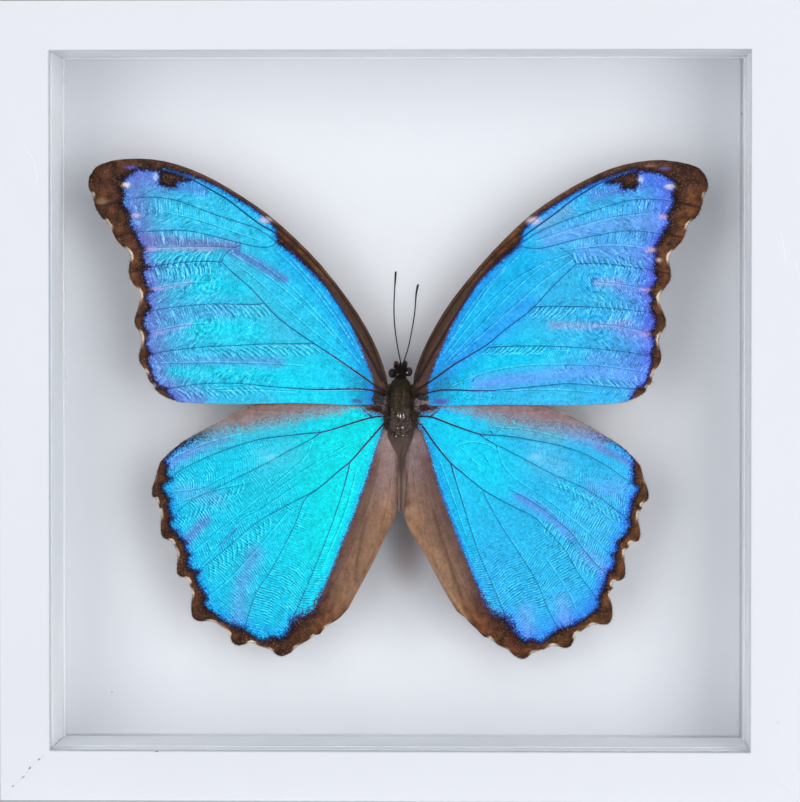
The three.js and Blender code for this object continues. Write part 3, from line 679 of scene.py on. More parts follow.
forewingRight = {
    "root": (2.3, 2.5),
    "blue": [
        (6.2, -1.5), (6.2, 2.2), (6.2, 4), (6.4, 5.5), (7.4, 8), (8.1, 10), (9.9, 14), (11.6, 18),
        (13.9, 22), (17.8, 28), (21.8, 32), (26.5, 36), (27.2, 36.8), (28.2, 40), (30, 42.4), (34, 45),
        (38, 47.4), (42, 49.8), (46, 51.6), (50, 52.9), (53.4, 53.8), (55, 53.4), (57, 53.3), (59, 52.9),
        (60.5, 52.2), (61.6, 51.5), (62.4, 50.8), (62.3, 48.9), (61.9, 48), (62.4, 46.2), (61.4, 44.4),
        (60.8, 43.6), (61.3, 41.4), (59.9, 39.6), (59.7, 38.8), (58.6, 36.8), (57.3, 35.2), (58.4, 34.8),
        (58.1, 32.6), (57.9, 31), (58.5, 29), (57.7, 27.2), (56.5, 26.3), (57.1, 25.3), (57.7, 24.4),
        (57.1, 22.4), (57.8, 20.3), (58.3, 19.3), (57.8, 17.2), (56.6, 16.4), (57.8, 15.5), (58, 14.3),
        (57.3, 12), (57.2, 11.4), (57.5, 9.5), (57.1, 8.6), (56.6, 6.8), (56, 5.2), (55.4, 4.4),
        (53.8, 3.7), (53, 2.2), (51, -1.5),
    ],
    "blotches": [[(46.6, 50.9), (49.2, 52.1), (51.4, 52.8), (53.6, 53.4), (54.2, 54.2), (54.3, 50.8),
                  (53.4, 49.5), (50.4, 49.3), (50.2, 50.8), (48, 50.6)]],
    "veins": [
        (0.28, 0.17, [(4, 5.5), (7.6, 12), (13, 21), (20, 31), (27.5, 38), (32, 41.4), (36, 44.3),
                     (40, 47.4), (46, 51), (50, 53), (54, 54)]),
        (0.07, 0.05, [(27.2, 36.8), (31, 39.3), (35, 41.2), (42, 43.8), (50, 46.3), (54, 47), (58, 47.05),
                     (62, 46.6), (68, 45.2)]),
        (0.07, 0.05, [(27.2, 36.6), (28.5, 36.1), (32, 35.9), (36, 36.8), (40, 37.9), (46, 39.1),
                     (52, 39.9), (58, 39.4), (64.5, 38.3)]),
        (0.07, 0.07, [(36.4, 36), (38.4, 35), (39.4, 34), (40.1, 32.4)]),
        (0.08, 0.05, [(40.1, 32.3), (45, 32.5), (51, 31.9), (57, 31), (61.5, 30)]),
        (0.26, 0.08, [(2.6, 2.6), (6, 4.9), (8, 6.3), (12, 9.2), (16, 11.6), (20, 14.1), (24, 17.4),
                     (28, 20.4), (30.5, 22.5), (34, 26.4), (37, 29.4), (40.1, 32.3)]),
        (0.08, 0.045, [(30.5, 22.5), (34, 22.7), (42, 22.6), (50, 22.1), (57, 21.2), (60.5, 20)]),
        (0.08, 0.045, [(20, 13.3), (26, 13.6), (34, 13.6), (46, 12.9), (54, 11.9), (59.4, 10.6)]),
        (0.22, 0.04, [(2.6, 1.9), (5, 2.5), (8, 3.3), (11, 3.6), (20, 3.4), (28, 4.1), (36, 4.9), (40, 5),
                     (48, 4.3), (55.5, 3.6)]),
        (0.24, 0.08, [(3.2, 4.8), (6, 13), (10, 20), (16, 28.2), (22, 34.8), (28, 40), (34, 44.9),
                     (40, 48.8)]),
    ],
    "folds": [
        [(37, 35.3), (44, 36.2), (50, 36.5), (57, 35.6)],
        [(38.6, 34.6), (33, 32.2), (26, 26.4), (18, 18), (10, 9.6)],
        [(39.4, 33.4), (33, 28.8), (27, 23.6), (20, 17.4), (12, 10.6)],
        [(34, 33.2), (26, 28.6), (18, 21), (9.6, 10.6)],
        [(27, 34.4), (21, 28), (14, 18.4), (8.4, 9.8)],
        [(24, 32), (17, 24), (11.4, 15), (8, 9.4)],
        [(57, 44), (48, 42.8), (40, 40.6), (31, 37.6)],
        [(57, 26.4), (50, 27.6), (45, 28)],
        [(56.6, 16.6), (50, 18), (45, 18.4)],
        [(12, 4.4), (20, 7.6), (30, 9.2), (44, 9.2), (54, 8)],
        [(22, 3.2), (34, 3.6), (44, 3)],
    ],
    "rays": [((31.4, 22.3), (40, 22.3), 9, (-2.2, -2.3)), ((20, 13), (33, 13.3), 13, (-1.9, -1.5)),
             ((41, 32.2), (56, 31), 13, (-1.2, 2.4)), ((46, 22), (56, 21), 9, (-0.6, 2)),
             ((44, 5), (54, 4.2), 9, (-1.8, 1.6))],
    "rings": [(44.5, 28), (44.5, 18.3)],
    "worn": [((10, 4.4), (17, 5.6), 0.9), ((12, 1.6), (24, 2), 0.8), ((47, 50.4), (44, 49.4), 1),
             ((59, 33.4), (59.6, 33.2), 0.7), ((7.5, 1), (11, 1.4), 0.9), ((7, 3), (12, 6.4), 0.9)],
    "pips": [
        (61.4, 49.9, 1.1, 0.55, "#e2dcd2"), (54.8, 51.5, 0.6, 0.8, "#b8c8f4"),
        (59.8, 43, 1, 0.6, "#c2b2dc"), (57, 35.5, 1.2, 0.6, "#c8acc8"), (55.8, 26.4, 1.3, 0.4, "#b8a4d8"),
        (55.7, 16.3, 1.3, 0.4, "#b09cd8"), (30.4, 42.2, 1.5, 0.8, "#dcc6cc"),
        (59, 33.2, 0.7, 0.5, "#c8a898"), (57, 54.6, 1.5, 0.25, "#8c6c60"), (60.2, 54, 1.3, 0.3, "#5a58b0"),
        (9.4, 0.8, 1.9, 0.7, "#5a3ea8"), (6.2, 0.7, 0.5, 0.5, "#a89c98"),
    ],
    "washes": [
        ("blue", 99, 1, "#34b8f0", [(30, 20)]),
        ("blue", 8, 0.95, "#00caf2", [(10, 3), (20, 8), (30, 11)]),
        ("blue", 7, 0.85, "#00b4ee", [(11, 12), (20, 24), (28, 32)]),
        ("blue", 2.4, 0.7, "#2a98f6", [(9, 7.6), (16, 12.8), (22, 17.2), (29, 22.6)]),
        ("blue", 6, 0.5, "#34b4e2", [(34, 18), (40, 26), (48, 25)]),
        ("blue", 5, 0.5, "#3cb0ea", [(34, 40), (46, 42)]),
        ("blue", 6, 0.65, "#5684e2", [(58, 46), (57, 38), (56, 22), (54, 8)]),
        ("blue", 2.6, 0.75, "#5660e0", [(61, 49), (60.4, 42), (58, 33), (57.2, 23), (57, 13), (55.2, 5.4)]),
        ("blue", 2.4, 0.7, "#5468ee", [(56, 51.8), (60, 50.6)]),
        ("blue", 1.5, 0.6, "#5c5ec8", [(50, 49.2), (44, 48)]),
        ("blue", 2, 0.8, "#66a0fc", [(56, 7), (42, 7.6), (30, 6.4), (18, 4.8)]),
        ("blue", 1.6, 0.6, "#5a8ee0", [(44, 11), (54, 9.8)]),
        ("blue", 2, 0.6, "#74a0f4", [(58, 42), (46, 41), (34, 38)]),
        ("blue", 2.6, 0.55, "#6c90ee", [(56, 34.6), (48, 35.4), (42, 35)]),
        ("blue", 1.6, 0.5, "#84a2cc", [(32, 41), (38, 44.6)]),
        ("blue", 1.9, 0.9, "#0a9ce4", [(43, 28), (45, 28.4)]),
        ("blue", 1.9, 0.85, "#0a9ce4", [(43, 18.3), (45.2, 18.3)]),
        ("blue", 1, 0.7, "#94a4dc", [(45, 28), (50, 28)]),
        ("blue", 0.9, 0.7, "#8ea6dc", [(34.6, 18.4), (46, 18.2), (52, 19)]),
        ("blue", 1.8, 0.6, "#7f86e0", [(50, 17.6), (56, 15.8)]),
        ("blue", 1.8, 0.6, "#7484e6", [(50, 27), (56, 25.4)]),
        ("blue", 1.2, 0.7, "#0c8ee0", [(6.8, 4), (9, 10), (13.6, 21), (22, 31.6)]),
        ("blue", 3, 0.7, "#2472b0", [(8, 2.4), (9.4, 5)]),
        ("blue", 2, 0.5, "#3cc0ee", [(26, 1.4), (40, 1.8)]),
        ("edge", 99, 1, "#5656cc", [(30, 20)]),
        ("edge", 9, 1, "#1490e2", [(7, 4), (12, 20), (24, 34), (40, 49)]),
        ("rim", 99, 1, "#221c74", [(30, 20)]),
        ("rim", 9, 1, "#1c48b4", [(7, 4), (12, 20), (24, 34), (40, 49)]),
        ("brown", 99, 1, "#4a2e20", [(30, 20)]),
        ("brown", 1.5, 0.75, "#2c1a17", [(68, 51), (65, 53.4), (60, 54.8), (54, 55), (47, 53.4), (38, 49.2)]),
        ("brown", 3, 0.7, "#33201a", [(60.6, 22), (60, 10), (56, 1)]),
        ("brown", 2.6, 0.75, "#341f1a", [(67, 53), (60, 55.6), (52, 55), (44, 52), (36, 46.5), (30, 41)]),
        ("brown", 2.6, 0.9, "#583f32", [(4, 6), (7, 13), (12, 21), (18, 29)]),
        ("brown", 0.7, 0.8, "#3f2c22", [(4.4, 7), (7.4, 14.4), (12.2, 22), (20, 31.4)]),
        ("brown", 1.4, 0.9, "#33333c", [(4.6, 1.6), (3, 2.2)]),
        ("brown", 1, 0.9, "#3c2218", [(5.6, -0.6), (3, -1)]),
        ("plain", 6, 1, "#ffffff", [(4, 3), (8, 15), (14, 25)]),
        ("ripple", 9, 0.8, "#ffffff", [(54, 45), (52, 36), (51, 22), (50, 8)]),
        ("ripple", 7, 0.5, "#ffffff", [(44, 46), (38, 42), (46, 28), (38, 10)]),
    ],
}
hindwingRight = {
    "root": (3, -2.5),
    "blue": [
        (5, -6.5), (5.7, -8.5), (6.3, -10.5), (7.2, -13.5), (8.1, -17), (9.2, -20.5), (10.5, -24),
        (11.6, -27), (12.9, -30.5), (14, -33), (15, -35.5), (16, -38), (17, -40.6), (18.2, -43),
        (19.3, -45.4), (20, -46.5), (21, -47.6), (22.5, -48.4), (24.2, -48.8), (24.9, -49.8),
        (25.8, -51.2), (26.8, -52.8), (28, -53.8), (29, -54.1), (30, -53.7), (31, -54), (32, -54.4),
        (33, -53.9), (34, -53), (35.3, -52), (36.3, -51.2), (37.5, -51), (39, -50.5), (40.5, -49.8),
        (42, -48.9), (43.5, -47.9), (44.7, -46.9), (45.3, -45.9), (45.6, -45.1), (45.3, -44.3),
        (46, -42.6), (46.6, -41.2), (47.1, -40), (47.3, -38.9), (47.3, -38.2), (48.4, -37.6),
        (49, -36.5), (49.1, -35.2), (48.6, -34.2), (49.4, -33.6), (49.8, -32.6), (49.6, -31.2),
        (50.4, -30.6), (51.4, -29.6), (52, -28.5), (52.6, -27.3), (52.6, -26.4), (52.2, -25.8),
        (52.5, -24.8), (52.9, -23.5), (53, -22.3), (53.5, -21), (54.1, -20), (54.5, -19), (54.2, -18.3),
        (53.2, -17.7), (53.5, -16.7), (53.4, -15.5), (53.3, -14.5), (53.6, -12), (50, -8.6), (46, -6.4),
        (42, -5.2), (36, -4.6), (32, -4.3), (28, -3.5), (24, -3), (20, -1.9), (18, -1.4), (16, -0.4),
        (12, -0.2), (9, -0.3), (7.5, -1.2), (4.4, -1.9), (3.2, -2.4), (3.6, -4.6),
    ],
    "blotches": [],
    "veins": [
        (0.22, 0.034, [(2.6, -2.7), (5, -2.5), (7.5, -2.8), (12, -4.5), (18, -6.5), (22, -6.8), (26, -7.2),
                      (30, -7.9), (34, -8.6), (38, -9.6), (42, -11), (46, -13), (50, -15.7),
                      (53, -17.7)]),
        (0.16, 0.045, [(6.5, -2.8), (7.9, -1.7), (9.2, -0.4)]),
        (0.07, 0.03, [(18, -6.5), (20, -7.9), (22, -9), (26, -11), (34, -15.3), (38, -17), (42, -18.8),
                     (46, -21.3), (50, -24.3), (52, -25.9)]),
        (0.22, 0.03, [(2.8, -3.2), (5, -4.8), (8, -9), (11.5, -13.2), (14, -15.3), (18, -18.6), (20, -20),
                      (24, -22.2), (30, -25.2), (32, -26.8), (36, -31), (38, -33.5), (40.5, -38),
                      (42.7, -41), (45.1, -44.3)]),
        (0.06, 0.034, [(19, -20), (21, -24), (24, -29), (27, -33.5), (30, -38.2), (32, -42), (34, -47),
                      (36.3, -51.2)]),
        (0.09, 0.038, [(11.6, -13.5), (12.6, -17), (14, -21.5), (16, -28), (18, -34), (20, -38.5),
                      (22, -43.2), (24, -48), (25, -50.2), (26, -52)]),
        (0.04, 0.038, [(25, -19.3), (27.5, -20.5), (30, -21.9), (33, -23.9), (36, -26.4), (39, -29),
                      (42, -33), (44.5, -36), (47, -38.3)]),
    ],
    "folds": [
        [(22, -9), (23.4, -13.6), (27, -17.4), (32, -20.5), (38, -25), (44, -30), (48.7, -34.7)],
        [(30, -20.9), (33, -23.2), (36, -25.8)],
        [(33, -34.5), (36, -39), (38.5, -43), (40, -46.5)],
        [(5.6, -8), (9, -18), (13, -28), (17, -38)],
        [(9, -13), (11.6, -20), (15, -30)],
        [(13, -9.4), (16, -8.4), (20, -9), (22, -10.4)],
        [(14, -10), (18, -14)], [(19, -11), (21, -14.6)],
        [(22, -5), (30, -5.8), (38, -7.8)],
        [(33, -17.6), (42, -21), (49, -27)],
        [(4, -9), (6.6, -20), (11.6, -36)],
        [(1.9, -8), (1.9, -14), (0.9, -22)],
        [(2.4, -12), (4.4, -24), (9, -38), (17.4, -49.5)],
        [(5.8, -18), (10, -32), (16.6, -45.5)],
    ],
    "rays": [((50, -25), (36, -17.4), 14, (0.8, -2.2)), ((44, -40), (33, -29), 12, (0.8, 2.2))],
    "rings": [(30.5, -11.5)],
    "worn": [((31, -18.4), (31.2, -19.8), 0.6), ((34.5, -12.4), (37.5, -13.2), 1), ((36.8, -10.4),
             (37.2, -10.6), 0.5),
             ((40, -8.4), (42, -9), 0.5), ((26, -8.6), (28.6, -9), 0.6), ((19, -6.4), (24, -5.6), 0.6),
             ((36.8, -17.4), (37.2, -17.6), 0.3)],
    "pips": [(31, -11.8, 1.5, 0.8, "#74ccf4")],
    "washes": [
        ("blue", 99, 1, "#28b8ec", [(30, -20)]),
        ("blue", 8, 0.9, "#04d6f8", [(8, -4), (14, -9), (20, -14)]),
        ("blue", 5, 0.5, "#1cccf4", [(9, -14), (14, -28)]),
        ("blue", 7, 0.5, "#4cb6f2", [(50, -20), (44, -30)]),
        ("blue", 7, 0.45, "#3aacf6", [(20, -40), (28, -48), (40, -44)]),
        ("blue", 2.2, 0.6, "#3480f0", [(52.5, -21), (51, -28), (47.5, -37.5), (43.8, -45), (36, -50),
                                      (28, -52.4), (24.4, -48.8)]),
        ("blue", 0.9, 0.7, "#6a74c8", [(53.4, -13.6), (48, -10.8), (45, -9.6)]),
        ("blue", 2, 0.7, "#9090c8", [(46, -7.6), (38, -5.8), (30, -4.8)]),
        ("blue", 2, 0.7, "#5cb6c4", [(36, -7), (28, -5.2), (22, -3.6)]),
        ("blue", 1.2, 0.7, "#6690ec", [(27, -21), (33, -24.6), (39, -30)]),
        ("blue", 1.8, 0.5, "#7898ee", [(42, -34), (47, -38)]),
        ("blue", 1.8, 0.55, "#78a0f0", [(38, -50), (37, -45)]),
        ("blue", 1.8, 0.55, "#78a0f0", [(29, -52), (28.6, -47)]),
        ("blue", 3.2, 0.5, "#6cc8f4", [(32, -12), (36, -14)]),
        ("blue", 2, 0.5, "#64a4f4", [(50, -19), (44, -19)]),
        ("blue", 3, 0.85, "#00b0e4", [(5.4, -7), (9, -19), (14.4, -33.4)]),
        ("blue", 0.5, 0.6, "#2a7cec", [(9, -19), (14.4, -33.4), (19.4, -45)]),
        ("edge", 99, 1, "#3450e0", [(30, -20)]),
        ("edge", 4, 1, "#1096e0", [(4.6, -6.4), (8.8, -19), (14.2, -33.6), (18, -43)]),
        ("rim", 99, 1, "#161c74", [(30, -20)]),
        ("rim", 5, 1, "#3c2a72", [(5, -10), (10, -24), (16, -39), (21, -48)]),
        ("rim", 6, 1, "#7c98b4", [(40, -5), (24, -2.3), (10, -0.4)]),
        ("brown", 99, 1, "#442a1a", [(30, -20)]),
        ("brown", 5, 1, "#93787a", [(44, -4.6), (30, -2), (20, -0.4), (12, 0.4)]),
        ("brown", 0.7, 0.85, "#7a5c46", [(51.6, -8), (44, -3.4), (36, -0.2), (28, 1)]),
        ("brown", 9, 1, "#8a777c", [(1, -9), (3, -16), (4, -20)]),
        ("brown", 10, 1, "#937159", [(5, -27), (12, -40)]),
        ("brown", 4, 0.6, "#765a50", [(5, -20), (8, -29)]),
        ("brown", 2.4, 0.85, "#694e48", [(6, -13), (9.6, -24), (14.4, -36), (18, -44)]),
        ("brown", 4, 0.9, "#5c3a2a", [(18.6, -47), (21, -50)]),
        ("brown", 3.6, 0.95, "#3d2117", [(23, -51), (26, -54.4)]),
        # painted shadow where the two folds overlap
        ("brown", 1.4, 0.85, "#5a4238", [(0.4, -8), (0.4, -22)]),
        ("brown", 0.25, 0.6, "#a08068", [(0.9, -25.4), (4.6, -32), (9.4, -40), (15, -48.8)]),
        ("brown", 0.5, 0.6, "#4a342c", [(7.6, -24), (9.4, -31), (11.8, -38), (15, -47)]),
        ("brown", 0.8, 0.8, "#3a241c", [(8.6, -0.4), (6, -1.6), (3, -2.2)]),
        ("plain", 9, 1, "#ffffff", [(3, -12), (8, -28), (12, -40)]),
        ("plain", 6, 1, "#ffffff", [(44, -3.6), (30, -1), (12, 0)]),
        ("soft", 4, 1, "#ffffff", [(46, -6), (36, -4), (24, -2), (16, -0.6)]),
        ("soft", 3, 0.35, "#ffffff", [(19, -46), (24, -50)]),
        ("ripple", 11, 0.9, "#ffffff", [(46, -26), (40, -32), (34, -40), (22, -42)]),
        ("ripple", 3, 0.6, "#ffffff", [(12, -26), (18, -38)]),
    ],
}
print("right wings planned")

wingBuild = {
    "cell": 0.25, "thickness": 0.14, "lift": 0.2, "pathStep": 1.5,  # mm
    "sag": 0.3, "sagReach": 2.0, "hem": 4.0, "ridge": 0.16, "ridgeWidth": 0.35,
    "crease": 0.1, "creaseWidth": 0.4, "wave": 0.03, "waveTurn": 5.0, "waveWidth": 0.5,
    "rayShift": 0.2, "rayLength": (0.6, 1.15), "rayBend": 0.14,
    "scallop": 6.5, "scallopStep": 0.25, "notchDip": (-0.05, 0.3), "tipDip": (0.05, 0.5),
    "notchZone": 1.5, "notchFrom": 28.0, "tipZone": 3.5, "fanReach": 30.0,
}


def outlineOf(node):  # a wing's flat plate: its front outline in mm about the thorax, and its plane
    bm = bmesh.new()
    bm.from_mesh(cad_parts[node].data)
    bmesh.ops.remove_doubles(bm, verts=bm.verts, dist=1e-6)
    bm.normal_update()
    front = [f for f in bm.faces if f.normal.y < -0.9]
    normal = front[0].normal.copy()
    level = front[0].verts[0].co.copy()
    chosen = set(front)
    follow = {}
    for face in front:
        for loop in face.loops:
            other = [f for f in loop.edge.link_faces if f is not face]
            if not other or other[0] not in chosen:
                follow[loop.vert.index] = loop.link_loop_next.vert.index
    bm.verts.ensure_lookup_table()
    ring = [next(iter(follow))]
    while follow[ring[-1]] != ring[0]:
        ring.append(follow[ring[-1]])
    points = np.array([bm.verts[i].co for i in ring]) / mm - np.array(specimenPlace)
    bm.free()
    return points[:, [0, 2]], (normal, level)


def onWing(flat, plate, back):  # in metres, back mm behind the plate's front face
    normal, level = plate
    x = flat[:, 0] + specimenPlace.x
    z = flat[:, 1] + specimenPlace.z
    turned = (normal.x * (x * mm - level.x) + normal.z * (z * mm - level.z)) / normal.y
    return np.stack([x, (level.y - turned) / mm + back, z], axis=1) * mm


def coordsOf(mesh):
    coords = np.zeros(len(mesh.vertices) * 3)
    mesh.vertices.foreach_get("co", coords)
    return coords.reshape(-1, 3)


def paintPoints(mesh, name, values):  # one number or one colour a point
    kind, part = ("FLOAT", "value") if values.ndim == 1 else ("FLOAT_COLOR", "color")
    mesh.attributes.new(name, kind, "POINT").data.foreach_set(part, values.astype(np.float32).ravel())


def smoothstep(low, high, value):
    t = np.clip((value - low) / (high - low), 0, 1)
    return t * t * (3 - 2 * t)


def evenRing(ring, step):  # points of a closed ring at even steps
    closed = np.vstack([ring, ring[0]])
    lengths = np.concatenate([[0], np.cumsum(np.linalg.norm(np.diff(closed, axis=0), axis=1))])
    at = np.arange(0, lengths[-1], step)
    return np.stack([np.interp(at, lengths, closed[:, k]) for k in (0, 1)], axis=1)


def scallopDepth(ring):  # how far in mm the margin dips inside its own average, less than 0 on a tip
    even = evenRing(ring, wingBuild["scallopStep"])
    span = int(wingBuild["scallop"] / wingBuild["scallopStep"])
    kernel = np.hanning(span + 2)[1:-1]
    wrapped = np.vstack([even[-span:], even, even[:span]])
    mean = np.stack([np.convolve(wrapped[:, k], kernel / kernel.sum(), "same") for k in (0, 1)], axis=1)
    return even, signedDistance(even, mean[span:-span])


def gridInside(ring, cell, passes=3):  # a flat grid trimmed to the ring, its rim moved onto it
    low = ring.min(axis=0) - cell
    counts = [int(math.ceil(s / cell)) for s in ring.max(axis=0) + cell - low]
    bm = bmesh.new()
    bmesh.ops.create_grid(bm, x_segments=counts[0], y_segments=counts[1], size=0.5)
    bmesh.ops.scale(bm, verts=bm.verts, vec=(counts[0] * cell, counts[1] * cell, 1))
    middle = low + np.array(counts) * cell / 2
    bmesh.ops.translate(bm, verts=bm.verts, vec=(middle[0], middle[1], 0))
    bmesh.ops.rotate(bm, verts=bm.verts, cent=(0, 0, 0), matrix=Matrix.Rotation(math.pi / 2, 3, "X"))
    faces = bm.faces[:]
    centres = np.array([f.calc_center_median() for f in faces])[:, [0, 2]]
    gone = ~inside(centres, ring)
    bmesh.ops.delete(bm, geom=[f for f, out in zip(faces, gone) if out], context="FACES")
    rim = [v for v in bm.verts if v.is_boundary]
    closed = np.vstack([ring, ring[0]])
    along = closed[1:] - closed[:-1]
    for vert in rim:
        spot = np.array([vert.co.x, vert.co.z])
        t = np.clip(((spot - closed[:-1]) * along).sum(1) / (along ** 2).sum(1), 0, 1)
        near = closed[:-1] + t[:, None] * along
        vert.co.x, vert.co.z = near[np.argmin(((near - spot) ** 2).sum(1))]
    onRim = set(rim)
    beside = {n for v in rim for n in (e.other_vert(v) for e in v.link_edges)} - onRim
    for _ in range(passes):
        bmesh.ops.smooth_vert(bm, verts=list(beside), factor=0.5, use_axis_x=True, use_axis_z=True)
    return bm


def rayLines(rays, plan):  # short creases in a row, each a little bent and of its own length
    draw = random.Random(7)
    lines = []
    for first, last, count, reach in rays:
        first, last = np.array(first), np.array(last)
        for k in range(count):
            shifted = k + draw.uniform(-plan["rayShift"], plan["rayShift"])
            start = first + (last - first) * shifted / (count - 1)
            out = np.array(reach) * draw.uniform(*plan["rayLength"])
            side = np.array([-out[1], out[0]]) * draw.uniform(0.0, plan["rayBend"])
            lines.append([start, start + out * 0.5 + side, start + out])
    return lines


def wingFields(flat, ring, plan, build):  # what the membrane's shape and colour follow, a value a point
    field = {}
    veins = [smoothPath(points, build["pathStep"]) for _, _, points in plan["veins"]]
    folds = [smoothPath(points, build["pathStep"]) for points in plan["folds"]]
    for name, lines in (("vein", veins), ("fold", folds), ("ray", rayLines(plan["rays"], build))):
        field[name], field[name + "Side"] = toSegments(flat, lines)
    field["border"] = signedDistance(flat, plan["blue"])
    for blotch in plan["blotches"]:
        field["border"] = np.minimum(field["border"], -signedDistance(flat, blotch))
    field["rim"] = toSegments(flat, [np.vstack([ring, ring[0]])])[0]
    fromRoot = flat - np.array(plan["root"])
    field["run"] = np.linalg.norm(fromRoot, axis=1)
    field["fan"] = np.arctan2(fromRoot[:, 1], np.abs(fromRoot[:, 0])) * build["fanReach"]
    even, dip = scallopDepth(ring)
    field["notch"] = np.zeros(len(flat))
    field["tip"] = np.zeros(len(flat))
    for i in np.where(field["rim"] < build["tipZone"])[0]:
        depth = dip[np.argmin(((even - flat[i]) ** 2).sum(1))]
        field["tip"][i] = smoothstep(*build["tipDip"], -depth)
        if field["rim"][i] < build["notchZone"] and field["run"][i] > build["notchFrom"]:
            field["notch"][i] = smoothstep(*build["notchDip"], depth)
    field["ring"] = toSegments(flat, [[p] for p in plan["rings"]])[0]
    field["worn"] = np.zeros(len(flat))
    for first, last, reach in plan["worn"]:
        share = np.exp(-(toSegments(flat, [[first, last]])[0] / reach) ** 2)
        field["worn"] = np.maximum(field["worn"], share)
    return field


tintNames = ("blue", "edge", "rim", "brown")  # the colours of a wing
shareNames = ("plain", "soft", "ripple")  # washes that only say how much


def wingTints(flat, plan, everywhere=99):  # the washes and pips laid over one another
    tints = {name: np.zeros((len(flat), 4)) for name in tintNames + shareNames}
    for layer, reach, strength, colour, line in plan["washes"]:
        gap = toSegments(flat, [smoothPath(line, 2.0) if len(line) > 1 else line])[0]
        share = strength * (np.exp(-(gap / reach) ** 2) if reach < everywhere else np.ones(len(flat)))
        tints[layer] += (np.array(linear(colour)) - tints[layer]) * share[:, None]
    field = {name: tints[name][:, 0] for name in shareNames}
    field.update({name + "Tint": tints[name] for name in tintNames})
    field["pip"] = np.zeros(len(flat))
    field["pipTint"] = np.zeros((len(flat), 4))
    for x, z, halfX, halfZ, colour in plan["pips"]:
        share = np.exp(-(((flat[:, 0] - x) / halfX) ** 2 + ((flat[:, 1] - z) / halfZ) ** 2) ** 1.5)
        field["pipTint"][share > field["pip"]] = linear(colour)
        field["pip"] = np.maximum(field["pip"], share)
    return field


def addWing(node, plan, scales, build):
    ring, plate = outlineOf(node)
    mesh = toMesh(gridInside(ring, build["cell"]), node + "_membrane")
    flat = coordsOf(mesh)[:, [0, 2]]
    field = wingFields(flat, ring, plan, build)
    sag = build["sag"] * (1 - np.exp(-field["vein"] / build["sagReach"]))
    sag *= smoothstep(0, build["hem"], field["rim"])
    ridge = build["ridge"] * np.exp(-(field["vein"] / build["ridgeWidth"]) ** 2)
    crease = build["crease"] * np.exp(-(field["fold"] / build["creaseWidth"]) ** 2)
    wave = build["wave"] * np.sin(field["ray"] * build["waveTurn"])
    wave *= np.exp(-(field["ray"] / build["waveWidth"]) ** 2)
    mesh.vertices.foreach_set("co", onWing(flat, plate, build["lift"] + sag - ridge - crease - wave).ravel())
    field.update(wingTints(flat, plan))
    for name, values in field.items():
        paintPoints(mesh, name, values)
    wing = finishPiece(mesh, node + "_membrane", [scales, underScales], [node])
    thick = wing.modifiers.new("thickness", "SOLIDIFY")
    thick.thickness = build["thickness"] * mm
    thick.offset = -1.0
    thick.material_offset = 1
    thick.material_offset_rim = 1
    addVeinGlints(node, plan, plate, glintPlan)
    addVeins(node, plan, plate, veinPlan)
    addFringe(node, ring, plate, fringePlan)
    print(node, "made,", len(flat), "points")


def curveMesh(name, tracks, sides=2):  # tracks: points in metres with their radii, made round tubes
    data = bpy.data.curves.new(name, "CURVE")
    data.dimensions = "3D"
    data.bevel_depth = 1.0
    data.bevel_resolution = sides
    data.use_fill_caps = True
    for points, radii in tracks:
        spline = data.splines.new("POLY")
        spline.points.add(len(points) - 1)
        for knot, point, radius in zip(spline.points, points, radii):
            knot.co = (*point, 1.0)
            knot.radius = radius
    source = addObject(name + "_curve", data)
    bpy.context.view_layer.update()
    mesh = bpy.data.meshes.new_from_object(source.evaluated_get(bpy.context.evaluated_depsgraph_get()))
    bpy.data.objects.remove(source)
    bm = bmesh.new()
    bm.from_mesh(mesh)
    bmesh.ops.remove_doubles(bm, verts=bm.verts, dist=1e-7)
    bmesh.ops.recalc_face_normals(bm, faces=bm.faces)
    bm.to_mesh(mesh)
    bm.free()
    mesh.name = name
    mesh.materials.clear()
    return mesh


veinPlan = {"step": 0.8, "taper": 2.2, "sunk": 0.75, "navy": (-0.6, 0.4), "greyEnd": 17, "greyFrom": 5}


def addVeins(node, plan, plate, build):
    back = wingBuild["lift"] - wingBuild["ridge"] * build["sunk"]
    tracks = []
    for baseRadius, tipRadius, points in plan["veins"]:
        path = smoothPath(points, build["step"])
        share = np.linspace(0, 1, len(path))
        radii = tipRadius + (baseRadius - tipRadius) * (1 - share) ** build["taper"]
        tracks.append((onWing(path, plate, back), radii * mm))
    mesh = curveMesh(node + "_veins", tracks, 1)
    spots = (coordsOf(mesh) / mm - np.array(specimenPlace))[:, [0, 2]]
    fromRoot = np.linalg.norm(spots - np.array(plan["root"]), axis=1)
    paintPoints(mesh, "onBlue", smoothstep(*build["navy"], signedDistance(spots, plan["blue"])))
    paintPoints(mesh, "nearRoot", smoothstep(build["greyEnd"], build["greyFrom"], fromRoot))
    finishPiece(mesh, node + "_veins", veinHorn)


# in mm: painted highlights as pale dashes beside the thick veins, within reach of the root and not far into
# the brown
glintPlan = {
    "thick": 0.15, "reach": 17.0, "brownEnd": 0.4, "step": 0.2, "fewest": 12, "shortest": 3, "start": (4, 10),
    "beside": 0.19, "proud": 0.16, "radius": 0.055, "thin": 0.6, "dash": (0.6, 2.4), "gap": (0.2, 0.9),
}


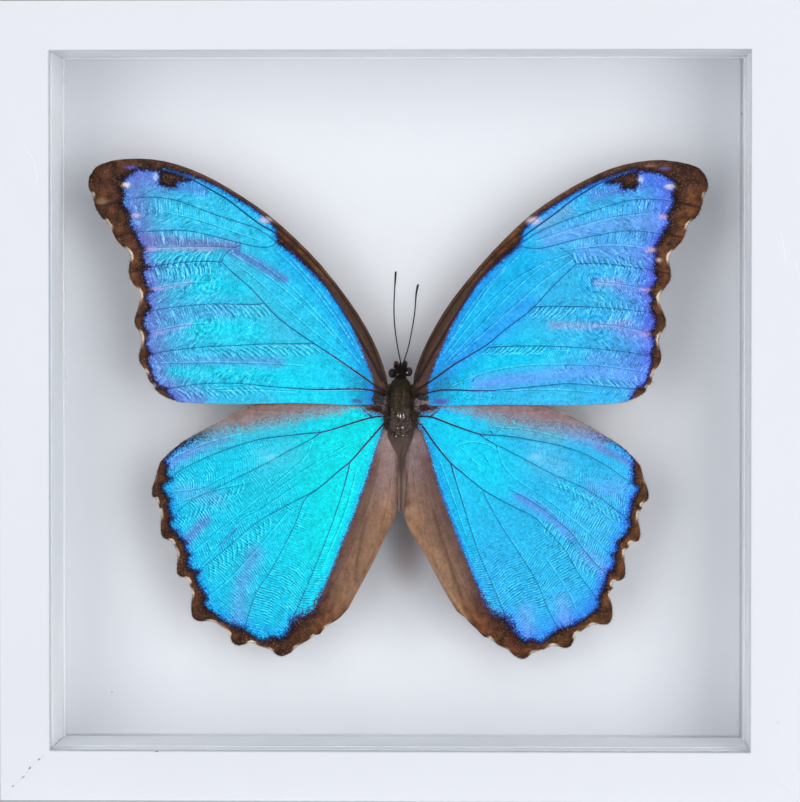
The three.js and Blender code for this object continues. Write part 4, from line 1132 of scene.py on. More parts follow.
def addVeinGlints(node, plan, plate, build):
    draw = random.Random(node)
    step = build["step"]
    tracks = []
    for baseRadius, _, points in plan["veins"]:
        path = smoothPath(points, step)
        path = path[(np.linalg.norm(path - np.array(plan["root"]), axis=1) < build["reach"])
                    & (signedDistance(path, plan["blue"]) > -build["brownEnd"])]
        if baseRadius < build["thick"] or len(path) < build["fewest"]:
            continue
        ahead = np.gradient(path, axis=0)
        beside = np.stack([-ahead[:, 1], ahead[:, 0]], axis=1) / np.linalg.norm(ahead, axis=1)[:, None]
        path = path + beside * build["beside"] * np.sign(beside[:, 1:] + 1e-9)
        at = draw.randrange(*build["start"])
        while at < len(path) - build["shortest"]:
            last = at + max(build["shortest"], int(draw.uniform(*build["dash"]) / step))
            part = path[at:last]
            back = wingBuild["lift"] - wingBuild["ridge"] - build["proud"]
            radius = build["radius"] * draw.uniform(build["thin"], 1)
            tracks.append((onWing(part, plate, back), np.full(len(part), radius) * mm))
            at = last + int(draw.uniform(*build["gap"]) / step)
    finishPiece(curveMesh(node + "_vein_glints", tracks, 0), node + "_vein_glints", veinGlint)


# in mm: the hair scales of the outer margin, longer and pale in the notches
fringePlan = {
    "count": 2, "length": 0.42, "notchLength": 0.46, "uneven": (0.6, 1.1), "lean": 0.25, "rooted": 0.12,
    "knee": 0.55, "back": 0.05, "spread": 0.05, "radius": 0.035, "tip": 0.3,
    "outwards": 0.35, "downwards": -0.3, "lowReach": 50, "from": 20,
}


def addFringe(node, ring, plate, build):
    draw = random.Random(node)
    even, dip = scallopDepth(ring)
    share = smoothstep(*wingBuild["notchDip"], dip)
    middle = even.mean(axis=0)
    reach = np.linalg.norm(even, axis=1)
    radii = np.array([1, 1, build["tip"]]) * build["radius"] * mm
    tracks = []
    pale = []
    for k in range(len(even)):
        ahead = even[(k + 1) % len(even)] - even[k - 1]
        out = np.array([ahead[1], -ahead[0]]) / (np.linalg.norm(ahead) + 1e-9)
        if out @ (even[k] - middle) < 0:
            out = -out
        isLow = out[1] < build["downwards"] and reach[k] > build["lowReach"]
        isOuter = out[0] * np.sign(even[k, 0]) > build["outwards"] or isLow
        if not isOuter or abs(even[k, 0]) < build["from"]:
            continue
        for _ in range(build["count"]):
            size = build["length"] + (build["notchLength"] - build["length"]) * share[k]
            size *= draw.uniform(*build["uneven"])
            lean = out + np.array([draw.uniform(-build["lean"], build["lean"]) for _ in range(2)])
            root = even[k] + ahead * draw.uniform(-0.5, 0.5) - out * build["rooted"]
            path = np.array([root, root + lean * size * build["knee"], root + lean * size])
            back = wingBuild["lift"] + build["back"] + draw.uniform(-build["spread"], build["spread"])
            tracks.append((onWing(path, plate, back), radii))
            pale.append(share[k])
    mesh = curveMesh(node + "_fringe", tracks, 0)
    paintPoints(mesh, "pale", np.repeat(pale, len(mesh.vertices) // len(tracks)))
    finishPiece(mesh, node + "_fringe", fringeHair)


wingLayers = ("border", "rim", "run", "fan", "vein", "veinSide", "fold", "foldSide", "ray", "raySide", "ring",
              "worn", "notch", "tip", "plain", "soft", "ripple", "pip",
              "blueTint", "edgeTint", "rimTint", "brownTint", "pipTint")


def blueScalesMaterial(name, plan):
    # ridged scales laid like tiles: an intense satin blue over brown, mottled scale by scale, dark
    # brown where the blue scales end, and cream hair scales in the notches
    # one scale is drawn 0.2 mm wide, coarser than the real 0.1 mm so that it shows
    grains = [
        ("tile", "tiles", "coords", 5000.0),
        ("tileTone", "red", "tile"),
        ("scale", "noise", "coords", 3800.0, 1.0),
        ("clump", "noise", "coords", 1300.0, 2.0),
        ("middling", "noise", "coords", 620.0, 1.0),
        ("patch", "noise", "coords", 330.0, 3.0),
        ("fanWide", "MULTIPLY", "fan", 1.6),
        ("runSlow", "MULTIPLY", "run", 0.12),
        ("streakPlace", "place", "fanWide", "runSlow"),
        ("streaks", "noise", "streakPlace", 1.0, 3.0),
        ("streaks", "SUBTRACT", "streaks", 0.5),
    ]
    # the edge of the blue, ragged by single scales, and blurred where it is soft
    blueEdge = [
        ("jitter", "MULTIPLY_ADD", "tileTone", 0.8, -0.575),
        ("jitter", "MULTIPLY_ADD", "clump", 0.35, "jitter"),
        ("jitterReach", "MULTIPLY_ADD", "soft", 3.2, 0.9),
        ("edge", "MULTIPLY_ADD", "jitter", "jitterReach", "border"),
        ("reach", "MULTIPLY_ADD", "soft", 2.2, 0.24),
        ("minusReach", "MULTIPLY", "reach", -1.0),
        ("isBlue", "eased", "edge", "minusReach", "reach"),
    ]
    # wrinkles across the cells: even waves slanting off the veins, mixed with wilder ones
    wrinkles = [
        ("bend", "MULTIPLY_ADD", "clump", plan["warp"], -0.5 * (plan["warp"] + plan["drift"])),
        ("bend", "MULTIPLY_ADD", "patch", plan["drift"], "bend"),
        ("slant", "MINIMUM", "vein", 3.5),
        ("slant", "MULTIPLY_ADD", "slant", plan["slant"], "run"),
        ("turns", "MULTIPLY", "slant", 2 * math.pi / plan["pitch"]),
        ("even", "ADD", "turns", "bend"),
        ("even", "SINE", "even"),
        ("wildX", "MULTIPLY", "turns", 0.17),
        ("wildY", "MULTIPLY", "fan", 0.8),
        ("wildPlace", "place", "wildX", "wildY"),
        ("wild", "noise", "wildPlace", 1.0, 2.0, 0.6),
        ("wild", "MULTIPLY_ADD", "wild", 5.0 * plan["wild"], -2.5 * plan["wild"]),
        ("wrinkle", "MULTIPLY_ADD", "even", 1 - plan["wild"], "wild"),
        ("broken", "eased", "middling", 0.34, 0.6, 0.25, 1.0),
        ("offFold", "eased", "fold", 0.15, 0.6),
        ("strength", "MULTIPLY", "broken", "offFold"),
        ("strength", "MULTIPLY", "ripple", "strength"),
        ("crest", "MULTIPLY", "wrinkle", "strength"),
    ]
    # along every ray, fold and vein a painted highlight on one edge and a painted shade on the other
    for gap, sharpness, width in (("ray", 7.5, 0.75), ("fold", 10.0, 0.5), ("vein", 9.0, 0.5)):
        wrinkles += [
            ("lineWave", "MULTIPLY", gap + "Side", sharpness),
            ("lineWave", "SINE", "lineWave"),
            ("lineNear", "eased", gap, 0.0, width, 1.0, 0.0),
            (gap + "Line", "MULTIPLY", "lineWave", "lineNear"),
        ]
    # relief feeds the bump and also lightens and darkens the colour below: painted highlight and shade of
    # wrinkles and lines
    relief = [
        ("relief", "MULTIPLY", "rayLine", 0.3),
        ("relief", "MULTIPLY_ADD", "crest", plan["depth"], "relief"),
        ("relief", "MULTIPLY_ADD", "foldLine", 0.28, "relief"),
        ("veinShare", "eased", "run", 6.0, 26.0, 0.8, 0.2),
        ("relief", "MULTIPLY_ADD", "veinLine", "veinShare", "relief"),
        ("grain", "MULTIPLY_ADD", "tileTone", 0.34, -0.47 - 0.5 * plan["cloud"]),
        ("grain", "MULTIPLY_ADD", "clump", 0.6, "grain"),
        ("grain", "MULTIPLY_ADD", "patch", plan["cloud"], "grain"),
        ("grain", "MULTIPLY_ADD", "streaks", 0.3, "grain"),
    ]
    blue = [
        ("ringWave", "MULTIPLY", "ring", 5.2),
        ("ringWave", "SINE", "ringWave"),
        ("ringNear", "eased", "ring", 2.0, 5.4, 1.0, 0.0),
        ("ringWave", "MULTIPLY", "ringWave", "ringNear"),
        ("gain", "ADD", "relief", "grain"),
        ("gain", "MULTIPLY_ADD", "ringWave", plan["ring"], "gain"),
        ("gain", "ADD", "gain", 0.92),
        ("blue", "scaled", "blueTint", "gain"),
        # painted highlight on the wrinkle crests and painted shade in their troughs
        ("light", "MULTIPLY_ADD", "grain", 0.6, "relief"),
        ("onCrest", "eased", "light", 0.06, 0.45, 0.0, 0.65),
        ("blue", "blend", "onCrest", "blue", plan["crest"]),
        ("inTrough", "eased", "light", -0.06, -0.42, 0.0, 0.6),
        ("blue", "blend", "inTrough", "blue", plan["trough"]),
        ("outer", "MULTIPLY_ADD", "jitter", 2.4, "edge"),
        ("outer", "eased", "outer", 0.3, 1.25, 1.0, 0.0),
        ("outerMost", "MULTIPLY_ADD", "soft", -0.8, 0.8),
        ("outer", "MULTIPLY", "outer", "outerMost"),
        ("blue", "blend", "outer", "blue", "edgeTint"),
        ("shade", "eased", "plain", 0.0, 0.8, plan["shade"], plan["shade"] * 0.55),
        ("shade", "MULTIPLY_ADD", "soft", 2.0, "shade"),
        ("deep", "eased", "edge", 0.0, "shade"),
        ("blue", "blend", "deep", "rimTint", "blue"),
        ("beside", "eased", "vein", 0.05, 0.3, 0.35, 0.0),
        ("blue", "blend", "beside", "blue", "#14568f"),
        ("gap", "eased", "scale", 0.6, 0.66),
        ("gap", "MULTIPLY", "worn", "gap"),
        ("blue", "blend", "gap", "blue", "#16224c"),
    ]
    # the brown border: near black beside the blue, browner and freckled outwards, dark at the margin
    brown = [
        ("width", "ADD", "rim", 0.05),
        ("width", "SUBTRACT", "border", "width"),
        ("across", "DIVIDE", "border", "width"),
        ("band", "stops", "across", ((0.0, "#30202a"), (0.14, "#6a5858"), (0.36, "#cabcb4"),
                                     (0.65, "#fff0d0"), (0.88, "#e0c8b0"), (1.0, "#60504c"))),
        ("band", "scaled", "band", 2.0),
        ("band", "blend", "plain", "band", "#ffffff"),
        ("brown", "tinted", "brownTint", "band"),
        ("unevenness", "MULTIPLY_ADD", "plain", -1.5, 1.9),
        ("mottle", "ADD", "patch", "middling"),
        ("mottle", "SUBTRACT", "mottle", 1.0),
        ("streak", "MULTIPLY_ADD", "clump", 0.7, 0.55),
        ("streak", "MULTIPLY_ADD", "foldLine", 0.2, "streak"),
        ("streak", "MULTIPLY_ADD", "mottle", "unevenness", "streak"),
        ("streak", "MULTIPLY_ADD", "streaks", 0.6, "streak"),
        ("brown", "scaled", "brown", "streak"),
        ("golden", "eased", "middling", 0.5, 0.68, 0.0, 0.28),
        ("patterned", "SUBTRACT", 1.0, "plain"),
        ("golden", "MULTIPLY", "golden", "patterned"),
        ("outwards", "eased", "across", 0.2, 0.5),
        ("golden", "MULTIPLY", "golden", "outwards"),
        ("brown", "blend", "golden", "brown", "#704424"),
        ("tipShare", "MULTIPLY", "tip", plan["tipShare"]),
        ("brown", "blend", "tipShare", "brown", "#20110b"),
        ("freckle", "eased", "scale", 0.6, 0.72),
        ("freckleMost", "MULTIPLY_ADD", "plain", -0.4, 0.5),
        ("freckle", "MULTIPLY", "freckle", "freckleMost"),
        ("brown", "blend", "freckle", "brown", "#a2835f"),
        # painted shadow beside the veins
        ("beside", "eased", "vein", 0.1, 0.45, 0.6, 0.0),
        ("brown", "blend", "beside", "brown", "#22130f"),
    ]
    skin = [
        ("skin", "blend", "isBlue", "brown", "blue"),
        ("pipShare", "eased", "tileTone", 0.1, 0.6, 0.5, 1.0),
        ("pipShare", "MULTIPLY", "pip", "pipShare"),
        ("skin", "blend", "pipShare", "skin", "pipTint"),
        ("hem", "MULTIPLY_ADD", "scale", 0.6, -0.3),
        ("hem", "ADD", "rim", "hem"),
        ("hem", "eased", "hem", plan["hem"] * 0.4, plan["hem"], 1.0, 0.0),
        ("cream", "MULTIPLY", "notch", "hem"),
        ("Base Color", "blend", "cream", "skin", "#e8d0b8"),
        ("Metallic", "MULTIPLY", "isBlue", 0.3),
        ("Roughness", "eased", "isBlue", 0.0, 1.0, 0.62, 0.46),
        ("height", "MULTIPLY", "tileTone", 0.3),
        ("height", "MULTIPLY_ADD", "relief", 2.2, "height"),
        ("Normal", "bump", "height", 0.6, 0.0001),
    ]
    recipe = grains + blueEdge + wrinkles + relief + blue + brown + skin
    return newMaterial(name, {"Specular IOR Level": 0.12}, recipe, wingLayers)


# wrinkles: pitch in mm, slant off the veins, bends by noise, depth, share of wild ones, and the colours of
# the painted highlight on their crests and painted shade in their troughs; then the rings, the dark rim of
# the blue in mm, dark tips, the cream hem in mm and the cloudiness
scalePlans = {
    "forewing": {"pitch": 0.52, "slant": 0.7, "warp": 10.0, "drift": 16.0, "depth": 0.6, "wild": 0.6,
                 "crest": "#90ecff", "trough": "#0e60a4", "ring": 0.17, "shade": 0.9, "tipShare": 0.35,
                 "hem": 0.6, "cloud": 0.4},
    "hindwing": {"pitch": 0.57, "slant": 0.3, "warp": 5.0, "drift": 8.0, "depth": 0.5, "wild": 0.3,
                 "crest": "#60f4ff", "trough": "#0670a8", "ring": 0.04, "shade": 1.2, "tipShare": 0.8,
                 "hem": 0.46, "cloud": 0.24},
}
foreScales = blueScalesMaterial("blue forewing scales", scalePlans["forewing"])
hindScales = blueScalesMaterial("blue hindwing scales", scalePlans["hindwing"])

# the underside: matt brown scales in flecks about 1 mm
underScales = newMaterial("brown underside scales", {"Roughness": 0.7}, [
    ("fleck", "noise", "coords", 1200.0, 3.0),
    ("Base Color", "blend", "fleck", "#4a342a", "#7d604c"),
    ("Normal", "bump", "fleck", 0.3, 0.00005),
])

# hollow veins of dark chitin: navy among the blue scales, brown in the border, greyer at the root
veinHorn = newMaterial("vein chitin", {"Roughness": 0.6, "Specular IOR Level": 0.15}, [
    ("fleck", "noise", "coords", 2200.0, 2.0),
    ("navy", "blend", "fleck", "#0a2c60", "#1450a0"),
    ("horn", "blend", "onBlue", "#2c1c17", "navy"),
    ("Base Color", "blend", "nearRoot", "horn", "#262024"),
], ("onBlue", "nearRoot"))

# painted highlights along the vein flanks: pale lilac dashes standing for the sky seen in the smooth bare
# chitin
veinGlint = newMaterial("painted vein highlight", {"Roughness": 0.4}, [
    ("fleck", "noise", "coords", 900.0),
    ("Base Color", "blend", "fleck", "#5a6a98", "#c4c0dc"),
])

# hair scales of the margin: cream in the notches, dark brown on the points
fringeHair = newMaterial("fringe scales", {"Roughness": 0.7}, [
    ("fleck", "noise", "coords", 1500.0, 2.0),
    ("dark", "blend", "fleck", "#241510", "#5a4032"),
    ("Base Color", "blend", "pale", "dark", "#eadaca"),
], ("pale",))

addWing("forewing_left", forewingLeft, foreScales, wingBuild)
addWing("hindwing_left", hindwingLeft, hindScales, wingBuild)
addWing("forewing_right", forewingRight, foreScales, wingBuild)
addWing("hindwing_right", hindwingRight, hindScales, wingBuild)


# In mm about the middle of the thorax. A lobe is its middle and its half sizes.
bodyPlan = {
    "voxel": 0.12, "smoothing": 6,
    "lobes": [
        ((0.05, -0.2, -0.3), (2.3, 4.0, 5.2)), ((-0.85, -2.0, 0.9), (1.4, 2.3, 4.2)),
        ((0.95, -2.0, 0.9), (1.4, 2.3, 4.2)), ((0.1, -1.9, -4.2), (2.3, 2.2, 2.0)),
        ((0.3, -1.5, -5.9), (1.6, 1.8, 1.5)),
        ((0.05, -0.6, 4.9), (1.9, 2.4, 1.9)), ((-0.8, -1.9, 5.5), (0.75, 1.1, 0.9)),
        ((0.9, -1.9, 5.5), (0.75, 1.1, 0.9)), ((-2.3, -1.5, 1.9), (0.7, 1.1, 1.9)),
        ((2.4, -1.5, 1.9), (0.7, 1.1, 1.9)), ((-2.7, -0.4, -0.6), (1.4, 1.0, 2.2)),
        ((2.8, -0.4, -0.6), (1.4, 1.0, 2.2)), ((0.05, -0.5, 7.6), (1.35, 1.6, 1.75)),
        ((-0.95, -0.7, 9.0), (0.35, 0.5, 0.7)), ((0.95, -0.7, 9.2), (0.35, 0.5, 0.7)),
        ((0.1, 3.8, -10), (1.5, 2.2, 5.5)), ((0.15, 6.2, -16.5), (1.5, 2.4, 5.6)),
        ((0.15, 8.0, -19.5), (1.2, 2.4, 3.6)),
    ],
    "plates": [((0.3, -3.05, -2.35), (1.35, 1.5, 1.35)), ((0.05, -2.7, -4.95), (1.7, 1.5, 0.8)),
               ((0.7, -2.2, -6.75), (0.7, 1.2, 0.5)), ((-0.8, -2.2, -6.75), (0.6, 1.1, 0.4))],
    "eyes": [((-1.9, -0.6, 7.35), (0.86, 1.1, 1.12)), ((1.95, -0.6, 7.7), (0.8, 1.1, 1.1))],
    # pale beads: the first two are white scale spots of the head, the others painted highlights on the bare
    # thorax plates
    "glints": [((-0.65, -1.95, 7.05), (0.13, 0.12, 0.22)), ((1.55, -1.75, 7.45), (0.16, 0.12, 0.18)),
               ((-0.46, -4.35, -2.25), (0.09, 0.08, 0.3)), ((0.12, -4.5, -2.4), (0.12, 0.08, 0.4)),
               ((0.82, -4.4, -2.1), (0.1, 0.08, 0.22)), ((0.9, -4.35, -2.6), (0.09, 0.08, 0.2)),
               ((0.6, -4.15, -5.0), (0.28, 0.08, 0.15)), ((-0.55, -4.1, -5.1), (0.12, 0.08, 0.14)),
               ((0.7, -3.35, -6.85), (0.2, 0.08, 0.1)), ((-0.9, -3.3, -7.0), (0.14, 0.08, 0.1))],
}


def lobesMesh(name, lobes, fineness):
    bm = bmesh.new()
    for middle, half in lobes:
        grown = bmesh.ops.create_icosphere(bm, subdivisions=fineness, radius=1.0)["verts"]
        bmesh.ops.scale(bm, verts=grown, vec=half)
        bmesh.ops.translate(bm, verts=grown, vec=middle)
    bmesh.ops.scale(bm, verts=bm.verts, vec=(mm, mm, mm))
    bmesh.ops.translate(bm, verts=bm.verts, vec=specimenPlace * mm)
    return toMesh(bm, name)


def moulded(mesh, plan):  # one skin over the lobes, its seams softened
    source = addObject("lobes", mesh)
    remesh = source.modifiers.new("one skin", "REMESH")
    remesh.mode = "VOXEL"
    remesh.voxel_size = plan["voxel"] * mm
    soft = source.modifiers.new("soft seams", "SMOOTH")
    soft.iterations = plan["smoothing"]
    bpy.context.view_layer.update()
    skin = bpy.data.meshes.new_from_object(source.evaluated_get(bpy.context.evaluated_depsgraph_get()))
    bpy.data.objects.remove(source)
    skin.name = "body_skin"
    skin.materials.clear()
    return skin


# compound eye: near-black brown, glossy, its facets drawn 0.08 mm wide, coarser than the real 0.03
eyeFacets = newMaterial("compound eye", {"Roughness": 0.22}, [
    ("facet", "cells", "coords", 12500.0),
    ("cloud", "noise", "coords", 900.0, 2.0),
    ("Base Color", "blend", "cloud", "#0d0807", "#2e1c18"),
    ("Normal", "pitted", "facet", 0.5, 0.00003),
])

# A coat, in mm: its number of hairs, their shortest and longest, comb (outwards, upwards), lift off the
# skin, radius at the root, dark and light tone, and its spots (x, z, half width, half height).
coatPlan = {
    "head_hair": (900, (0.35, 0.8), (0.5, 0.4), 0.9, 0.035, ("#060505", "#1e1a1a"),
                  [(0.05, 7.6, 1.6, 2.0)]),
    "palp_hair": (260, (0.35, 0.75), (0.5, 1.0), 0.5, 0.04, ("#241010", "#643430"),
                  [(-0.95, 9.2, 0.5, 0.7), (0.98, 9.3, 0.5, 0.7)]),
    "collar_hair": (900, (0.4, 0.85), (0.7, -0.5), 0.5, 0.04, ("#15130d", "#4c462c"),
                    [(0.05, 5.0, 2.0, 1.2)]),
    "scutum_hair": (2100, (0.45, 0.85), (0.1, -1.0), 0.12, 0.035, ("#262017", "#584a36"),
                    [(0.05, 1.4, 2.0, 3.6)]),
    "side_hair": (1500, (0.6, 1.1), (0.8, -0.7), 0.35, 0.04, ("#1c1410", "#564434"),
                  [(-2.5, 1.5, 0.6, 3.5), (2.6, 1.5, 0.6, 3.5), (-2.8, -3.2, 0.8, 2.4),
                   (3.0, -3.0, 0.8, 2.2)]),
    "stripe_hair": (420, (0.45, 0.8), (0.1, -1.0), 0.14, 0.035, ("#3e3426", "#7a6a56"),
                    [(-0.8, 1.6, 0.22, 2.9), (0.85, 1.6, 0.22, 2.9), (-0.4, -1.2, 0.14, 0.6),
                     (1.0, -1.1, 0.14, 0.6)]),
    "shoulder_hair": (420, (0.6, 1.1), (1.0, 0.1), 0.3, 0.045, ("#16110c", "#3a3024"),
                      [(-1.6, 4.1, 0.4, 0.9), (1.7, 4.1, 0.4, 0.9)]),
    # near black: painted shade in the gaps between the thorax and the wing roots
    "gap_hair": (700, (0.4, 0.7), (0.4, -0.9), 0.3, 0.04, ("#040303", "#181210"),
                 [(-2.3, 1.0, 0.35, 2.4), (2.5, 1.0, 0.35, 2.4), (-2.6, -1.4, 0.4, 0.8),
                  (2.8, -1.4, 0.4, 0.8)]),
    "rump_hair": (2300, (0.5, 1.05), (0.35, -1.0), 0.3, 0.04, ("#2e2520", "#837066"),
                  [(0.05, -4.6, 2.7, 2.7), (-1.9, -2.6, 1.0, 2.2), (2.0, -2.6, 1.0, 2.2)]),
    "mauve_tufts": (700, (0.4, 0.9), (0.6, -0.5), 0.45, 0.04, ("#4c3a40", "#b8a4a4"),
                    [(-3.1, 1.2, 0.55, 1.0), (3.4, 0.9, 0.7, 0.8), (4.7, 0.9, 1.2, 0.4),
                     (-3.3, -0.3, 0.5, 0.8), (3.4, -0.4, 0.5, 0.7)]),
    "root_fuzz": (700, (0.35, 0.8), (1.0, -0.2), 0.25, 0.035, ("#0e1016", "#66666e"),
                  [(-5.0, 1.6, 1.3, 0.9), (4.9, 1.8, 1.2, 0.7), (-4.4, 0.6, 1.0, 0.5)]),
    "russet_fuzz": (900, (0.4, 0.9), (1.0, -0.15), 0.15, 0.035, ("#1c0e0b", "#5a3226"),
                    [(-4.6, -0.75, 1.7, 0.6), (4.9, -0.55, 1.6, 0.6)]),
    "blue_tufts": (260, (0.3, 0.6), (0.9, -0.6), 0.2, 0.03, ("#163a9c", "#a8d4ff"),
                   [(-6.4, -1.6, 2.0, 0.4), (-4.2, -2.2, 0.8, 0.5), (6.0, -1.5, 1.8, 0.5),
                    (4.4, -4.2, 0.5, 1.3)]),
    "white_tufts": (110, (0.3, 0.6), (0.7, -0.5), 0.4, 0.035, ("#8c7c7a", "#e4dcd8"),
                    [(5.9, 0.95, 0.5, 0.3), (-2.9, 2.0, 0.2, 0.5), (3.6, 0.2, 0.5, 0.3),
                     (-2.6, -2.6, 0.3, 0.5), (2.8, -2.8, 0.3, 0.4)]),
}
# Bald plates: middle and reach. All coats, in mm: the height of the spots, where the look for the skin
# starts and ends, how a hair is strewn, bent, rooted and tapered.
furBare = [((0.35, -2.3), 0.8), ((0.05, -5.0), 0.62), ((0.8, -6.8), 0.35)]
hairPlan = {
    "height": -0.6, "above": -12, "search": 12.4, "bareEdge": (0.8, 1.2), "partBeside": 1.2, "strewn": 0.28,
    "knee": 0.55, "bow": 0.08, "droop": (-0.25, 0.05), "rooted": 0.05, "taper": (1, 0.7, 0.1),
}


def coatTracks(name, hairs, spots, tree, hair):  # from the skin, or the wing where there is no body
    wanted, lengths, (outwards, upwards), lift, radius = hairs
    draw = random.Random(name)
    areas = [halfX * halfZ for _, _, halfX, halfZ in spots]
    radii = [radius * share * mm for share in hair["taper"]]
    tracks = []
    while len(tracks) < wanted:
        x, z, halfX, halfZ = draw.choices(spots, areas)[0]
        turn = draw.uniform(0, 2 * math.pi)
        away = math.sqrt(draw.random())
        spot = Vector((x + halfX * away * math.cos(turn), hair["height"], z + halfZ * away * math.sin(turn)))
        if any(math.hypot(spot.x - bareX, spot.z - bareZ) < reach * draw.uniform(*hair["bareEdge"])
               for (bareX, bareZ), reach in furBare):
            wanted -= 1
            continue
        start = (Vector((spot.x, hair["above"], spot.z)) + specimenPlace) * mm
        hit, normal, _, _ = tree.ray_cast(start, Vector((0, 1, 0)), hair["search"] * mm)
        if hit is None:
            normal = Vector((0, -1, 0))
        else:
            spot.y = hit.y / mm
        aside = max(-1, min(1, spot.x / hair["partBeside"]))
        comb = Vector((outwards * aside, 0, upwards))
        comb += Vector([draw.gauss(0, hair["strewn"]) for _ in range(3)])
        comb -= normal * comb.dot(normal)
        way = comb.normalized() + normal * lift
        way.normalize()
        length = draw.uniform(*lengths)
        root = spot + specimenPlace
        knee = root + way * length * hair["knee"] + normal * length * hair["bow"]
        tip = root + way * length + normal * length * draw.uniform(*hair["droop"])
        points = np.array([root - normal * hair["rooted"], knee, tip])
        tracks.append((points * mm, radii))
    return tracks


def addBody(plan):
    cuticle = tonedMaterial("dark thorax cuticle", "#14100d", "#3c3026", 900.0, 0.6)
    barePlate = tonedMaterial("glossy bare plate", "#2a201c", "#5e4c46", 1500.0, 0.2)
    # pale head spots, and pale beads on the thorax that are painted highlights
    polished = tonedMaterial("pale head scales and painted glints", "#b8aeaa", "#fbf8f6", 5000.0, 0.35)
    skin = moulded(lobesMesh("lobes", plan["lobes"], 4), plan)
    finishPiece(skin, "body_skin", cuticle, ["butterfly_body"])
    finishPiece(lobesMesh("bare_plates", plan["plates"], 4), "bare_plates", barePlate)
    finishPiece(lobesMesh("eyes", plan["eyes"], 5), "eyes", eyeFacets)
    finishPiece(lobesMesh("pale_spots_and_painted_glints", plan["glints"], 3), "pale_spots_and_painted_glints", polished)
    tree = BVHTree.FromPolygons([v.co for v in skin.vertices], [p.vertices for p in skin.polygons])
    for name, (*hairs, (dark, light), spots) in coatPlan.items():
        material = tonedMaterial(name.replace("_", " ") + " scales", dark, light, 2600.0, 0.55)
        tracks = coatTracks(name, hairs, spots, tree, hairPlan)
        finishPiece(curveMesh(name, tracks, 0), name, material)


addBody(bodyPlan)
print("body and hair made")

# antenna: dark brown-grey joints 0.4 mm long with paler rings between
antennaJoints = newMaterial("antenna joints", {"Roughness": 0.5, "Specular IOR Level": 0.15}, [
    ("ring", "bands", "coords", 780.0, 0.6),
    ("Base Color", "blend", "ring", "#0e0b0a", "#332c30"),
])

# In mm about the thorax, y towards the board: an antenna's route and its radii.
antennaPlan = {
    "left": [(0.1, -1.2, 9.0), (-0.05, -1.3, 10.4), (-0.75, -1.5, 14), (-1.35, -2, 19), (-1.4, -2.4, 24),
             (-1, -2.8, 30.6)],
    "right": [(0.85, -1.2, 9.2), (0.95, -1.3, 10.4), (2, -1.5, 14), (3.2, -2, 20.5), (3.65, -2.4, 25.5),
              (4.1, -2.6, 27.7)],
    "step": 0.25, "radius": 0.15, "club": 0.25, "clubLength": 4.5, "clubEnd": 0.8, "tip": 0.5,
}


def addAntenna(side, plan):
    path = smoothPath(plan[side], plan["step"])
    toTip = np.linalg.norm(path - path[-1], axis=1)
    swollen = smoothstep(plan["clubLength"], plan["clubEnd"], toTip)
    radii = plan["radius"] + (plan["club"] - plan["radius"]) * swollen
    radii[-1] *= plan["tip"]
    name = "antenna_" + side + "_finished"
    mesh = curveMesh(name, [((path + np.array(specimenPlace)) * mm, radii * mm)], 3)
    finishPiece(mesh, name, antennaJoints, ["antenna_" + side])


for side in ("left", "right"):
    addAntenna(side, antennaPlan)

# brown inner skin, wrinkled lengthwise, with painted shade darkest in the fold down the middle and a paler
# tail
innerSkin = newMaterial("brown inner skin", {"Roughness": 0.7}, [
    ("lengthwise", "stretched", "coords", (2600.0, 900.0, 500.0)),
    ("fleck", "noise", "lengthwise", 1.0, 3.0),
    ("upper", "blend", "fleck", "#38281e", "#564032"),
    ("lower", "blend", "fleck", "#5c463c", "#7e6558"),
    ("skin", "blend", "tail", "upper", "lower"),
    ("Base Color", "blend", "fold", "skin", "#33221b"),
], ("fold", "tail"))

# The membrane left between the folded inner edges of the hindwings, in mm about the thorax.
flapPlan = {
    "ring": [(-3.1, -7.0), (-2.8, -5.4), (0.2, -5.6), (3.0, -4.4), (3.3, -4.8), (2.86, -6.4), (2.6, -8),
             (1.95, -9.6), (1.2, -11.2), (1.0, -12.8), (1.2, -15), (1.2, -19), (0.9, -22.6), (0.62, -24.5),
             (-0.42, -24.5), (-0.6, -22.6), (-0.6, -19), (-0.6, -15), (-0.5, -13), (-0.8, -11.5),
             (-1.5, -10.1), (-2.3, -8.7)],
    "cell": 0.16, "back": 0.62, "tail": (-13, -18), "tailForward": 0.1,
    "valley": 0.35, "valleyFrom": (-7.5, -11), "valleyWidth": 0.5, "tailWidth": 0.22, "tailPale": 0.15,
    "valleyX": 0.08, "valleyTop": 0.1, "valleyLean": 0.4, "valleyBend": -12,
    "swell": 0.2, "swellBeside": 1.0, "swellWidth": 0.5,
}


def addFlap(plan):
    mesh = toMesh(gridInside(np.array(plan["ring"]), plan["cell"]), "anal_skin")
    flat = coordsOf(mesh)
    x, z = flat[:, 0], flat[:, 2]
    gap = x - np.maximum(plan["valleyX"], plan["valleyTop"] + plan["valleyLean"] * (z - plan["valleyBend"]))
    tail = smoothstep(*plan["tail"], z)
    width = plan["valleyWidth"] + (plan["tailWidth"] - plan["valleyWidth"]) * tail
    valley = np.exp(-(gap / width) ** 2) * smoothstep(*plan["valleyFrom"], z)
    swell = np.exp(-((gap - plan["swellBeside"]) / plan["swellWidth"]) ** 2)
    flat[:, 1] = plan["back"] + plan["valley"] * valley - plan["swell"] * swell - plan["tailForward"] * tail
    mesh.vertices.foreach_set("co", ((flat + np.array(specimenPlace)) * mm).ravel())
    # painted shade down the valley, less on the tail
    paintPoints(mesh, "fold", valley * (1 - plan["tailPale"] * tail))
    paintPoints(mesh, "tail", tail)
    finishPiece(mesh, "anal_skin", innerSkin)


addFlap(flapPlan)
print("antennae and inner skin made")

# The liner lies on the mount board, its right and lower edges just inside the spacers, mm.
linerPlan = {"left": -79.6, "bottom": 11.9, "right": 77.95, "top": 168.7, "front": 12.6, "back": 12.97,
             "round": 0.5, "roundSteps": 5, "edge": 0.1}


